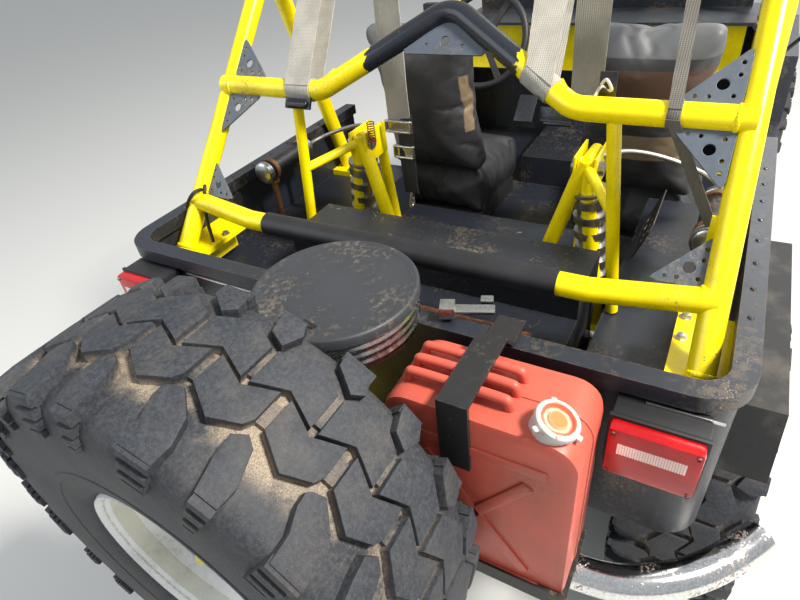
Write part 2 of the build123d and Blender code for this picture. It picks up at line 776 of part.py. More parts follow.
def reservoirs():
    """Two remote shock reservoirs on clamps along the tub's rails."""
    units = []
    for side in (1, -1):
        start = point((466, 632, 5), side)
        end = point((696, 632, 5), side)
        unit = rod(start, end, 30)
        for station in (500, 662):
            foot = Vector(at(station), side * 632, up(-WELL_DEPTH) + SEAT)
            unit += rod(foot, Vector(foot.X, foot.Y, up(0)), 10)
        units.append(unit)
    return units


# Rear fittings


def jerry_can():
    """Steel fuel can with three handle ribs and a filler on its shoulder."""
    x1 = at(-CAN_BACK + CAN_DEPTH)
    body = block(at(-CAN_BACK), x1, -CAN_RIGHT, -CAN_RIGHT + CAN_WIDTH, up(CAN_TOP - CAN_HEIGHT), up(CAN_TOP))
    return fillet(body.edges().filter_by(Axis.X), 45)


def can_holder():
    """Tray under the fuel can with two arms to the tub, and the flat strap over the can."""
    right, left = -CAN_RIGHT, -CAN_RIGHT + CAN_WIDTH
    back, front = at(-CAN_BACK), at(-CAN_BACK + CAN_DEPTH)
    low = up(CAN_TOP - CAN_HEIGHT) - SEAT
    face = at(BEAD_OUT - SEAT)
    pieces = [
        block(back - 8, front + 10, right - 6, left + 6, low - 6, low),
        block(back - 8, back - SEAT, right - 6, left + 6, low - 6, low + 34),
    ]
    for y in (right + 40, left - 70):
        pieces.append(block(front, face, y, y + 30, low - 6, low + 70))
    top = up(CAN_TOP) + SEAT
    rest = up(0) + SEAT
    strap = [
        (at(75), rest),
        (at(75), rest + 6),
        (at(8), rest + 6),
        (front + 7, top + 6),
        (back - 7, top + 6),
        (back - 7, top - 150),
        (back - SEAT, top - 150),
        (back - SEAT, top),
        (front + 4, top),
        (at(4), rest),
    ]
    middle = -STRAP_Y
    band = profile_y(strap, middle - STRAP_WIDTH / 2, middle + STRAP_WIDTH / 2)
    return [fuse(pieces), band]


def drum():
    """Low round drum with a flat lid on the tub's rear edge."""
    x, y = at(DRUM_CENTRE[0]), DRUM_CENTRE[1]
    low = up(0) + SEAT
    return rod((x, y, low), (x, y, up(DRUM_TOP)), DRUM_RADIUS - DRUM_LIP) + rod(
        (x, y, up(DRUM_TOP - 12)), (x, y, up(DRUM_TOP)), DRUM_RADIUS
    )


def tail_lamps():
    """Boxed tail lamps on the rear panel."""
    lamp = block(
        at(-LAMP_BACK),
        at(BEAD_OUT - SEAT),
        LAMP_OUTER_Y - LAMP_WIDTH,
        LAMP_OUTER_Y,
        up(LAMP_TOP - LAMP_HEIGHT),
        up(LAMP_TOP),
    )
    return pair(lamp)


def rear_bumper():
    """Round tube bumper with swept ends."""
    z = up(-570)
    points = [(at(150), 870, z), (at(-95), 600, z), (at(-95), -600, z), (at(150), -870, z)]
    bar = pipe(points, 38, 60)
    pieces = [bar]
    for side in (1, -1):
        y0, y1 = sorted((side * 280, side * 330))
        pieces.append(block(at(-95), at(10 - SEAT), y0, y1, z + 16, z + 90))
    return fuse(pieces)


def front_bumper():
    """Channel bumper across the frame's front."""
    x1 = at(FRONT_AXLE_STATION + FRONT_OVERHANG)
    bar = block(x1 - BUMPER_DEPTH, x1, -680, 680, 640, 740)
    return bar


def tyre_carrier():
    """Spare wheel carrier: post and arm behind the tub, hub plate and the clamp bar outside the wheel."""
    z = up(-SPARE_DROP)
    disc = -SPARE_SET - RIM_DISC_OUT
    face = disc + RIM_DISC / 2 + SEAT
    post = block(at(-200), at(-150), SPARE_Y - 40, SPARE_Y + 40, up(-600), z + 60)
    foot = block(at(-200), at(BEAD_OUT - SEAT), SPARE_Y - 40, SPARE_Y + 40, up(-400), up(-340))
    arm = rod((at(face), SPARE_Y, z), (at(-180), SPARE_Y, z), 38)
    plate = rod((at(face), SPARE_Y, z), (at(face + 10), SPARE_Y, z), 62)
    stub = rod((at(disc - 40), SPARE_Y, z), (at(-180), SPARE_Y, z), 25)
    clamp = block(at(disc - 32), at(disc - 6 - SEAT), SPARE_Y - 150, SPARE_Y + 150, z - 20, z + 20)
    return fuse([post, foot, arm, plate, stub, clamp])


# Nose


def hood():
    """Hood: crowned top and side skirts, hinged at the cowl."""
    rear, front = TUB_LENGTH + 10, GRILLE_STATION - 4
    outer = []
    for inset in (0.0, HOOD_WALL):
        sections = []
        stations = ((rear, HOOD_HALF_REAR, COWL_RISE), (front, HOOD_HALF_FRONT, COWL_RISE - 35))
        for station, half, rise in stations:
            half -= inset
            base = up(-FENDER_DEPTH + 6 - (inset > 0) * 1)
            points = [
                (at(station), -half, base),
                (at(station), half, base),
                (at(station), half, up(rise - 60)),
                (at(station), half - 60, up(rise) - inset),
                (at(station), -half + 60, up(rise) - inset),
                (at(station), -half, up(rise - 60)),
            ]
            sections.append(make_face(Polyline(*points, close=True)))
        outer.append(loft(sections, ruled=True))
    shell = outer[0] - outer[1]
    hinge = hinge_point(1)
    reach = GRILLE_STATION - HINGE_STATION - MOVING_GAP
    shell &= rod((hinge.X, -TUB_WIDTH, hinge.Z), (hinge.X, TUB_WIDTH, hinge.Z), reach)
    for side in (1, -1):
        shell += hinge_barrel(side)
    return shell


def grille():
    """Flat radiator shell with horizontal bars and round lamp openings."""
    x0, x1 = at(GRILLE_STATION), at(GRILLE_STATION + GRILLE_DEPTH)
    top = up(COWL_RISE - 35 - 2)
    shell = block(x0, x1, -GRILLE_HALF, GRILLE_HALF, 740 + SEAT, top)
    shell -= block(x0 - 1, x1 + 1, -240, 240, 860, top - 60)
    for side in (1, -1):
        shell -= rod((x0 - 1, side * LAMP_Y, 1130), (x1 + 1, side * LAMP_Y, 1130), LAMP_RADIUS + SEAT)
    bars = []
    for row in range(6):
        z = 905 + 60 * row
        bars.append(block(x0 + 15, x0 + 35, -241, 241, z, z + 18))
    return fuse([shell] + bars)


def headlamps():
    """Round headlamps in the radiator shell."""
    x0 = at(GRILLE_STATION)
    lamp = rod((x0 + 10, LAMP_Y, 1130), (x0 + GRILLE_DEPTH + 8, LAMP_Y, 1130), LAMP_RADIUS)
    return pair(lamp)


def front_fenders():
    """Flat-topped front fenders over the steered wheels."""
    inner = GRILLE_HALF + SEAT
    # station, height below the rail: the fender's top line from the cowl to the nose
    line = [
        (TUB_LENGTH + SEAT, -480),
        (2440, -420),
        (2540, -FENDER_DEPTH),
        (3400, -FENDER_DEPTH),
        (3500, -260),
    ]
    top = [(at(station), up(height)) for station, height in line]
    low = [(x, z - FENDER_WALL * 2) for x, z in reversed(top)]
    return pair(profile_y(top + low, inner, FENDER_OUT))


def windscreen_frame():
    """Windscreen frame standing on the cowl."""
    low, high = up(COWL_RISE) + SEAT, up(COWL_RISE + 420)
    x_low, x_high = at(2215), at(2150)
    points = [(x_low, low), (x_low + 30, low), (x_high + 30, high), (x_high, high)]
    outer = profile_y(points, -600, 600)
    hole = block(x_high - 60, x_low + 100, -555, 555, low + 50, high - 45)
    return outer - hole


def windscreen_glass():
    """Flat laminated glass in the windscreen frame."""
    low, high = up(COWL_RISE) + SEAT, up(COWL_RISE + 420)
    x_low, x_high = at(2215), at(2150)
    slope = (x_high - x_low) / (high - low)
    z0, z1 = low + 50 + SEAT, high - 45 - SEAT
    points = [
        (x_low + slope * (z0 - low) + 12, z0),
        (x_low + slope * (z0 - low) + 18, z0),
        (x_low + slope * (z1 - low) + 18, z1),
        (x_low + slope * (z1 - low) + 12, z1),
    ]
    return profile_y(points, -555 + SEAT, 555 - SEAT)


def dash():
    """Painted dash panel with round instrument holes."""
    x = at(2000)
    panel = block(x, x + 6, -600, 600, up(-90), up(COWL_RISE - WALL) - SEAT)
    for y in (500, 240, -200, -320, -440):
        panel -= rod((x - 1, y, up(60)), (x + 7, y, up(60)), 40)
    start, along = column_axis()
    return panel - rod(start, start + along * 500, 28 + MOVING_GAP)


def engine():
    """Engine as one plain block, and the radiator behind the grille."""
    block_x0, block_x1 = at(2480), at(3080)
    motor = block(block_x0, block_x1, -200, 200, 650, 1120)
    inner = FRAME_Y - FRAME_WIDTH / 2 - SEAT
    motor += block(at(2760), at(2830), -inner, inner, 660, 720)
    radiator = block(at(GRILLE_STATION - 70), at(GRILLE_STATION - SEAT), -230, 230, 800, 1260)
    return [motor, radiator]


def gearbox():
    """Gearbox behind the engine and transfer case with its front drop."""
    case = block(at(1898), at(2480 - SEAT), -115, 115, 650, 850)
    transfer = block(at(1700), at(1899), -110, 220, 600, 742)
    drop = block(at(1720), at(1899), 110, 235, 530, 742)
    return case + transfer + drop


def driveshafts():
    """Front and rear propeller shafts, with a yoke at each end."""
    # transfer output station and height, axle input station, offset to the left, radius
    table = [
        (1700 - SEAT, 650, REAR_AXLE_STATION + 230 + SEAT, 40, 32),
        (1899 + SEAT, 565, FRONT_AXLE_STATION - 230 - SEAT, 180, 28),
    ]
    shafts = []
    for out_station, out_z, in_station, y, radius in table:
        step = 40 if in_station > out_station else -40
        ends = rod((at(out_station), y, out_z), (at(out_station + step), y, out_z), radius + 8)
        ends += rod((at(in_station), y, AXLE_Z), (at(in_station - step), y, AXLE_Z), radius + 8)
        start = (at(out_station + step * 0.7), y, out_z)
        end = (at(in_station - step * 0.7), y, AXLE_Z)
        shafts.append(ends + rod(start, end, radius))
    return shafts


def front_springs():
    """Front leaf springs over the axle, in hangers below the rails."""
    x = at(FRONT_AXLE_STATION)
    z = AXLE_Z + AXLE_RADIUS + SEAT
    leaf = block(x - 405, x + 480, FRAME_Y - 30, FRAME_Y + 30, z + 8, z + 34)
    pad = block(x - 45, x + 45, FRAME_Y - 30, FRAME_Y + 30, z, z + 9)
    hangers = [
        block(x - 405, x - 375, FRAME_Y - 30, FRAME_Y + 30, z + 20, 640 - SEAT),
        block(x + 450, x + 480, FRAME_Y - 30, FRAME_Y + 30, z + 20, 640 - SEAT),
    ]
    return pair(fuse([leaf, pad] + hangers))


def exhaust():
    """Exhaust pipe and silencer under the floor."""
    z = 560
    muffler = rod((at(1100), -420, z + 20), (at(1600), -420, z + 20), 75)
    tail = pipe([(at(1110), -420, z + 20), (at(900), -420, z + 20), (at(850), -420, z + 60)], 24, 30)
    lug = block(at(1300), at(1340), -400, -FRAME_Y - FRAME_WIDTH / 2 - SEAT, 612, 640)
    return muffler + tail + lug


def mirrors():
    """Door-less body mirrors on the cowl sides."""
    x = at(2120)
    side = TUB_WIDTH / 2 - BEAD_OUT + SEAT
    foot = block(x - 25, x + 25, side, side + 8, up(-60), up(-8))
    arm = foot + rod((x, side + 7, up(-30)), (x, 820, up(60)), 8)
    head = block(x - 20, x + 20, 790, 878, up(40), up(180))
    return pair(arm + head)


NODES = {
    "frame": frame,
    "tub": tub,
    "rear_flares": rear_flares,
    "hood": hood,
    "front_fenders": front_fenders,
    "grille": grille,
    "headlamps": headlamps,
    "windscreen_frame": windscreen_frame,
    "windscreen_glass": windscreen_glass,
    "dash": dash,
    "steering_gear": steering_gear,
    "steering_wheel": steering_wheel,
    "roll_cage": roll_cage,
    "cage_sleeve": cage_sleeve,
    "shock_towers": shock_towers,
    "coilovers": coilovers,
    "reservoirs": reservoirs,
    "seats": seats,
    "harness": harness,
    "cover_box": cover_box,
    "engine": engine,
    "gearbox": gearbox,
    "driveshafts": driveshafts,
    "rear_axle": rear_axle,
    "front_axle": front_axle,
    "knuckle_left": lambda: knuckle(1),
    "knuckle_right": lambda: knuckle(-1),
    "steering_rods": steering_rods,
    "pitman_arm": pitman_arm,
    "front_springs": front_springs,
    "tyre_carrier": tyre_carrier,
    "jerry_can": jerry_can,
    "can_holder": can_holder,
    "drum": drum,
    "tail_lamps": tail_lamps,
    "rear_bumper": rear_bumper,
    "front_bumper": front_bumper,
    "exhaust": exhaust,
    "mirrors": mirrors,
}


def spare_place():
    """Turns a wheel's axis from Y to X and sets it behind the tub."""
    return Pos(at(-SPARE_SET), SPARE_Y, up(-SPARE_DROP)) * Rot(0, 0, 90)


def write(name, shape):
    """One STEP file per node."""
    solids = shape if isinstance(shape, list) else [shape]
    solids = [solid for piece in solids for solid in piece.solids()]
    export_step(Compound(children=solids) if len(solids) > 1 else solids[0], "parts/" + name + ".step")


def main():
    os.makedirs("parts", exist_ok=True)
    for name, make in NODES.items():
        write(name, make())
    rubber = tyre() + tread_ring()
    for name, x, y, side in wheel_places():
        write("tyre_" + name, Pos(x, y, AXLE_Z) * rubber)
        write("rim_" + name, Pos(x, y, AXLE_Z) * rim(side))
    write("spare_tyre", spare_place() * rubber)
    write("spare_rim", spare_place() * rim(1, False))


main()
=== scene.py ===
import math

import bmesh
import bpy
from mathutils import Matrix, Vector


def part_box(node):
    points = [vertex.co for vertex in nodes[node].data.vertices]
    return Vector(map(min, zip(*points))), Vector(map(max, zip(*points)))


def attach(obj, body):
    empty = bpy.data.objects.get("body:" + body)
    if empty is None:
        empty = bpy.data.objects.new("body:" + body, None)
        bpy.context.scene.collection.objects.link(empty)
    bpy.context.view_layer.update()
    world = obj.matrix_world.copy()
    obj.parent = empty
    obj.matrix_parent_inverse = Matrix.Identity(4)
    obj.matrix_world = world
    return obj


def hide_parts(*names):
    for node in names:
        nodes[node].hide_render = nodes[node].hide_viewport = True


# Looks of the off-road utility vehicle. Stations, distances to the left and heights over the tub's
# rail are in millimetres, as in the model's source, and every mesh is in metres.

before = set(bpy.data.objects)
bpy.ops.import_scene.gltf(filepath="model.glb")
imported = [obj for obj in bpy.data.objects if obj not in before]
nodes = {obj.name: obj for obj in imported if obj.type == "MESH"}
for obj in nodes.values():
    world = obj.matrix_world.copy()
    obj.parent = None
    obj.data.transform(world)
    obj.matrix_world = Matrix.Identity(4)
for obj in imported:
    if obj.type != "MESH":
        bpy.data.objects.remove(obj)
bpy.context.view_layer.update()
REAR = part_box("tub")[0].x
RAIL = 1.25
SIDES = (("left", 1), ("right", -1))


def place(station, y, height):
    """A point from its station, its distance to the left and its height over the rail."""
    return Vector((REAR + station / 1000, y / 1000, RAIL + height / 1000))


def link(name, data):
    """A new object in the scene."""
    made = bpy.data.objects.new(name, data)
    bpy.context.scene.collection.objects.link(made)
    return made


# Camera, floor and light


CAMERA_TURN = (33.287, 36.869, 7.384)
CAMERA_PLACE = (-733.2, -609.1, 704.9)
FOCAL_PIXELS = 558.05
PHOTO_WIDTH = 800
SENSOR = 36


def make_camera():
    """The photograph's camera: behind and above the tub, looking forward and to the left."""
    yaw, pitch, roll = (math.radians(angle) for angle in CAMERA_TURN)
    forward = Vector((math.cos(pitch) * math.cos(yaw), math.cos(pitch) * math.sin(yaw), -math.sin(pitch)))
    level = Vector((math.sin(yaw), -math.cos(yaw), 0))
    down = forward.cross(level)
    across = math.cos(roll) * level + math.sin(roll) * down
    downward = math.cos(roll) * down - math.sin(roll) * level
    data = bpy.data.cameras.new("camera")
    data.sensor_width = SENSOR
    data.lens = FOCAL_PIXELS / PHOTO_WIDTH * SENSOR
    data.clip_start = 0.02
    data.clip_end = 200
    camera = link("camera", data)
    matrix = Matrix((across, -downward, -forward)).transposed().to_4x4()
    matrix.translation = place(*CAMERA_PLACE)
    camera.matrix_world = matrix
    bpy.context.scene.camera = camera


def make_floor():
    """A plain pale floor."""
    mesh = bpy.data.meshes.new("floor")
    reach = 30.0
    corners = [(-reach, -reach, 0), (reach, -reach, 0), (reach, reach, 0), (-reach, reach, 0)]
    mesh.from_pydata(corners, [], [(0, 1, 2, 3)])
    floor = link("floor", mesh)
    paint = Surface("floor_pale", (0.62, 0.62, 0.60), 0.9)
    mesh.materials.append(paint.material)


def make_lights():
    """Soft studio light: a pale surround, a large key above and behind, and a weak fill."""
    world = bpy.data.worlds.new("studio")
    world.use_nodes = True
    world.node_tree.nodes["Background"].inputs["Color"].default_value = (0.92, 0.96, 1.0, 1)
    world.node_tree.nodes["Background"].inputs["Strength"].default_value = 0.6
    bpy.context.scene.world = world
    bpy.context.scene.view_settings.view_transform = "Standard"
    # name, place, target, size, watts, colour
    table = [
        ("key", (-1.2, -3.6, 5.4), (-0.9, 0, 1.0), 0.9, 620, (1.0, 0.95, 0.87)),
        ("fill", (-4.5, 3.5, 3.6), (-0.8, 0, 1.0), 3.5, 90, (0.9, 0.95, 1.0)),
        ("front", (4.5, -2.0, 4.5), (0.5, 0, 1.0), 3.5, 150, (1.0, 1.0, 1.0)),
    ]
    for name, spot, target, size, watts, colour in table:
        data = bpy.data.lights.new(name, "AREA")
        data.size = size
        data.energy = watts
        data.color = colour
        lamp = link(name, data)
        lamp.location = spot
        lamp.rotation_euler = (Vector(target) - Vector(spot)).to_track_quat("-Z", "Y").to_euler()


# Materials


def shade(colour, share):
    """A colour made darker or lighter."""
    return tuple(share * part for part in colour)


class Surface:
    """A procedural material: a Principled shader and short calls that add what feeds it."""

    def __init__(self, name, colour, rough, metal=0.0):
        self.material = bpy.data.materials.new(name)
        self.material.use_nodes = True
        self.tree = self.material.node_tree
        self.shader = self.tree.nodes["Principled BSDF"]
        self.set("Base Color", (*colour, 1))
        self.set("Roughness", rough)
        self.set("Metallic", metal)
        self.coords = None

    def set(self, socket, value):
        self.shader.inputs[socket].default_value = value

    def feed(self, socket, output):
        self.tree.links.new(output, self.shader.inputs[socket])

    def node(self, kind, settings=None, **inputs):
        made = self.tree.nodes.new(kind)
        for key, value in (settings or {}).items():
            setattr(made, key, value)
        for key, value in inputs.items():
            self.plug(made.inputs[key.replace("_", " ")], value)
        return made

    def plug(self, socket, value):
        if isinstance(value, bpy.types.NodeSocket):
            self.tree.links.new(value, socket)
        elif value is not None:
            socket.default_value = value

    def where(self):
        """Position in the row frame: every CAD node's object sits at the origin."""
        if self.coords is None:
            self.coords = self.node("ShaderNodeTexCoord").outputs["Object"]
        return self.coords

    def noise(self, scale, detail=4.0, rough=0.55, stretch=None, distortion=0.0):
        """Noise from 0 to 1, its features about one over scale metres across."""
        source = self.where()
        if stretch:
            mapping = self.node("ShaderNodeMapping", Vector=source)
            mapping.inputs["Scale"].default_value = stretch
            source = mapping.outputs["Vector"]
        made = self.node("ShaderNodeTexNoise", Vector=source, Scale=scale, Detail=detail, Roughness=rough,
                         Distortion=distortion)
        return made.outputs["Fac"]

    def step(self, value, low, high):
        """0 below low, 1 above high, and smooth between."""
        made = self.node("ShaderNodeMapRange", {"interpolation_type": "SMOOTHSTEP"}, Value=value)
        made.inputs["From Min"].default_value = low
        made.inputs["From Max"].default_value = high
        return made.outputs["Result"]

    def scale(self, value, low, high):
        """A value from 0 to 1 spread over another range."""
        made = self.node("ShaderNodeMapRange", Value=value)
        made.inputs["To Min"].default_value = low
        made.inputs["To Max"].default_value = high
        return made.outputs["Result"]

    def math(self, operation, first, second=None):
        made = self.node("ShaderNodeMath", {"operation": operation})
        for socket, value in zip(made.inputs, (first, second)):
            self.plug(socket, value)
        return made.outputs[0]

    def times(self, first, second):
        return self.math("MULTIPLY", first, second)

    def plus(self, first, second):
        return self.math("ADD", first, second)

    def most(self, first, second):
        return self.math("MAXIMUM", first, second)

    def mix(self, share, first, second):
        """A blend of two colours."""
        made = self.node("ShaderNodeMix", {"data_type": "RGBA"})
        sockets = [socket for socket in made.inputs if socket.type == "RGBA"]
        self.plug(made.inputs[0], share)
        for socket, value in zip(sockets, (first, second)):
            self.plug(socket, (*value, 1) if isinstance(value, tuple) and len(value) == 3 else value)
        return next(socket for socket in made.outputs if socket.type == "RGBA")

    def parts(self):
        """The three coordinates apart."""
        made = self.node("ShaderNodeSeparateXYZ", Vector=self.where())
        return made.outputs["X"], made.outputs["Y"], made.outputs["Z"]

    def edges(self):
        """1 along sharp edges, from the difference between the true and a rounded normal."""
        rounded = self.node("ShaderNodeBevel", {"samples": 4}, Radius=0.004).outputs["Normal"]
        plain = self.node("ShaderNodeNewGeometry").outputs["Normal"]
        dot = self.node("ShaderNodeVectorMath", {"operation": "DOT_PRODUCT"})
        self.plug(dot.inputs[0], rounded)
        self.plug(dot.inputs[1], plain)
        return self.step(self.math("SUBTRACT", 1.0, dot.outputs["Value"]), 0.02, 0.25)

    def bump(self, height, distance, strength):
        made = self.node("ShaderNodeBump", Height=height, Distance=distance, Strength=strength)
        self.feed("Normal", made.outputs["Normal"])


def painted(name, colour, chip, dirt, gloss=0.3, wear=0.5, dust=0.3, rust=0.0, over=None):
    """Old paint: slightly uneven, chipped along its edges, with dirt and dust in the hollows."""
    skin = Surface(name, colour, gloss)
    cloud = skin.noise(6, 5)
    fine = skin.noise(90, 6, 0.65)
    speck = skin.noise(260, 3, 0.6)
    darker = shade(colour, 0.72)
    base = skin.mix(skin.step(cloud, 0.35, 0.75), colour, darker)
    soil = skin.times(skin.step(skin.times(cloud, fine), 0.26, 0.42), dust)
    base = skin.mix(soil, base, dirt)
    edge = skin.times(skin.edges(), skin.step(fine, 0.42, 0.56))
    scratch = skin.noise(34, 5, 0.7, (1.0, 1.0, 9.0), 0.6)
    spots = skin.step(skin.times(speck, cloud), 0.40 - 0.04 * wear, 0.44)
    marks = skin.times(skin.step(scratch, 0.66, 0.70), wear)
    gone = skin.most(skin.most(skin.times(edge, wear), spots), marks)
    bare = skin.mix(skin.step(fine, 0.4, 0.62), chip, (0.16, 0.06, 0.025)) if rust else chip
    base = skin.mix(gone, base, bare)
    skin.feed("Base Color", over(skin, base) if over else base)
    skin.feed("Roughness", skin.plus(skin.scale(fine, gloss * 0.7, gloss * 1.5), skin.times(gone, 0.3)))
    skin.bump(skin.math("SUBTRACT", skin.scale(skin.noise(300, 2), 0.0, 0.25), gone), 0.0006, 0.5)
    return skin


def bare_metal(name, colour, rough, rust=0.3, grain=(1.0, 1.0, 1.0)):
    """Unpainted metal with stains, fine scratches and some rust."""
    skin = Surface(name, colour, rough, 1.0)
    cloud = skin.noise(14, 6, 0.6)
    fine = skin.noise(160, 5, 0.6, grain)
    pits = skin.times(skin.step(skin.times(cloud, fine), 0.30, 0.36), rust)
    tint = skin.mix(skin.step(fine, 0.3, 0.7), colour, shade(colour, 0.7))
    brown = skin.mix(fine, (0.30, 0.13, 0.05), (0.11, 0.05, 0.03))
    skin.feed("Base Color", skin.mix(pits, tint, brown))
    skin.feed("Metallic", skin.math("SUBTRACT", 1.0, skin.times(pits, 0.8)))
    skin.feed("Roughness", skin.plus(skin.scale(fine, rough * 0.7, rough * 1.4), skin.times(pits, 0.4)))
    skin.bump(skin.plus(fine, pits), 0.0005, 0.45)
    return skin


def rubber(name, colour, dirt, share=0.5):
    """Weathered black rubber with dust."""
    skin = Surface(name, colour, 0.62)
    cloud = skin.noise(9, 6, 0.6)
    fine = skin.noise(220, 5, 0.65)
    dust = skin.times(skin.step(cloud, 0.42, 0.72), share)
    base = skin.mix(skin.step(fine, 0.35, 0.7), colour, shade(colour, 1.6))
    skin.feed("Base Color", skin.mix(dust, base, dirt))
    skin.feed("Roughness", skin.scale(fine, 0.5, 0.8))
    skin.bump(fine, 0.0005, 0.5)
    return skin


def moulded(name, colour, rough=0.5):
    """Grained black plastic."""
    skin = Surface(name, colour, rough)
    grain = skin.noise(420, 3, 0.6)
    skin.feed("Base Color", skin.mix(skin.step(skin.noise(12, 5), 0.4, 0.7), colour, shade(colour, 1.5)))
    skin.feed("Roughness", skin.scale(grain, rough * 0.8, rough * 1.25))
    skin.bump(grain, 0.0003, 0.5)
    return skin


def clear(name, colour, rough=0.03):
    """Glass with a trace of dust."""
    skin = Surface(name, colour, rough)
    skin.set("Transmission Weight", 0.92)
    skin.set("IOR", 1.5)
    skin.feed("Roughness", skin.scale(skin.step(skin.noise(40, 6), 0.5, 0.8), rough, rough + 0.2))
    return skin


def within(skin, value, low, high, soft=0.002):
    """1 while a value lies between two limits."""
    return skin.times(skin.step(value, low - soft, low + soft), skin.step(value, high + soft, high - soft))


def area(skin, stations=None, lefts=None, heights=None, ragged=0.0):
    """1 inside a box of stations, distances to the left and heights over the rail, in millimetres."""
    x, y, z = skin.parts()
    share = None
    for value, limits, shift in ((x, stations, REAR), (y, lefts, 0.0), (z, heights, RAIL)):
        if limits:
            if ragged:
                value = skin.plus(value, skin.scale(skin.noise(70, 5), -ragged / 1000, ragged / 1000))
            band = within(skin, value, limits[0] / 1000 + shift, limits[1] / 1000 + shift)
            share = band if share is None else skin.times(share, band)
    return share


def black_middle(skin, base):
    """Worn black coating over the harness bar's raised middle."""
    coat = area(skin, (400, 650), (-190, 196), (318, 560), 22)
    chips = skin.step(skin.noise(75, 5, 0.7), 0.70, 0.73)
    return skin.mix(skin.times(coat, skin.math("SUBTRACT", 1.0, chips)), base, (0.014, 0.017, 0.024))


def rusty_step(skin, base):
    """Rusty primer along the cover box's rear step, and a touch of red where the can rubbed."""
    edge = area(skin, (180, 222), (-330, 120), (-160, -146), 8)
    wall = area(skin, (188, 200), (-380, 60), (-230, -150), 14)
    colour = skin.mix(skin.step(skin.noise(45, 5), 0.4, 0.6), (0.32, 0.12, 0.05), (0.12, 0.05, 0.03))
    return skin.mix(skin.times(skin.most(edge, wall), 0.85), base, colour)


def webbing(name, colour):
    """Woven strap: lengthwise ribs, a fine weave, and dust."""
    skin = Surface(name, colour, 0.85)
    _, y, z = skin.parts()
    ribs = skin.math("SINE", skin.times(y, 2 * math.pi / 0.0045))
    weave = skin.math("SINE", skin.times(z, 2 * math.pi / 0.0028))
    cloud = skin.step(skin.noise(16, 5), 0.35, 0.7)
    fine = skin.noise(400, 3)
    base = skin.mix(skin.times(cloud, 0.7), colour, shade(colour, 0.68))
    base = skin.mix(skin.scale(skin.times(ribs, weave), 0.0, 0.16), base, (0.05, 0.05, 0.05))
    skin.feed("Base Color", base)
    skin.bump(skin.plus(skin.plus(ribs, skin.times(weave, 0.5)), fine), 0.0004, 0.7)
    return skin


def seat_cover():
    """Dark vinyl with a pale top band that is a painted highlight on both seat backs, and on the right seat a brown and
    a beige panel.
    """
    skin = Surface("seat_back_vinyl", (0.03, 0.03, 0.034), 0.5)
    grain = skin.noise(380, 3, 0.6)
    base = skin.mix(skin.step(skin.noise(12, 5), 0.4, 0.7), (0.026, 0.027, 0.031), (0.05, 0.05, 0.055))
    # painted highlight: the top band of both seat backs is made lighter where light falls on it
    base = skin.mix(area(skin, heights=(236, 400)), base, (0.10, 0.105, 0.115))
    base = skin.mix(area(skin, (950, 1110), (-560, -180), (120, 205)), base, (0.075, 0.040, 0.026))
    base = skin.mix(area(skin, (950, 1140), (-515, -335), (-75, 10)), base, (0.24, 0.18, 0.12))
    base = skin.mix(area(skin, (950, 1140), (195, 215), (-60, 150), 2), base, (0.22, 0.16, 0.10))
    skin.feed("Base Color", base)
    skin.feed("Roughness", skin.scale(grain, 0.4, 0.62))
    skin.bump(grain, 0.0003, 0.5)
    return skin


def filler_paint():
    """The filler's rings: rusty middle, tan, red, and a pale broken ring outside."""
    skin = Surface("can_filler", (0.6, 0.1, 0.06), 0.5)
    centre = place(-160, -488, 36)
    apart = skin.node("ShaderNodeVectorMath", {"operation": "DISTANCE"})
    skin.plug(apart.inputs[0], skin.where())
    apart.inputs[1].default_value = centre
    radius = skin.plus(apart.outputs["Value"], skin.scale(skin.noise(90, 4), -0.003, 0.003))
    base = skin.mix(skin.step(radius, 0.013, 0.016), (0.42, 0.17, 0.035), (0.55, 0.40, 0.26))
    base = skin.mix(skin.step(radius, 0.021, 0.023), base, (0.58, 0.13, 0.07))
    pale = skin.times(skin.step(radius, 0.028, 0.030), skin.step(skin.noise(60, 4), 0.34, 0.42))
    skin.feed("Base Color", skin.mix(pale, base, (0.55, 0.53, 0.50)))
    skin.bump(skin.noise(220, 4), 0.0006, 0.5)
    return skin


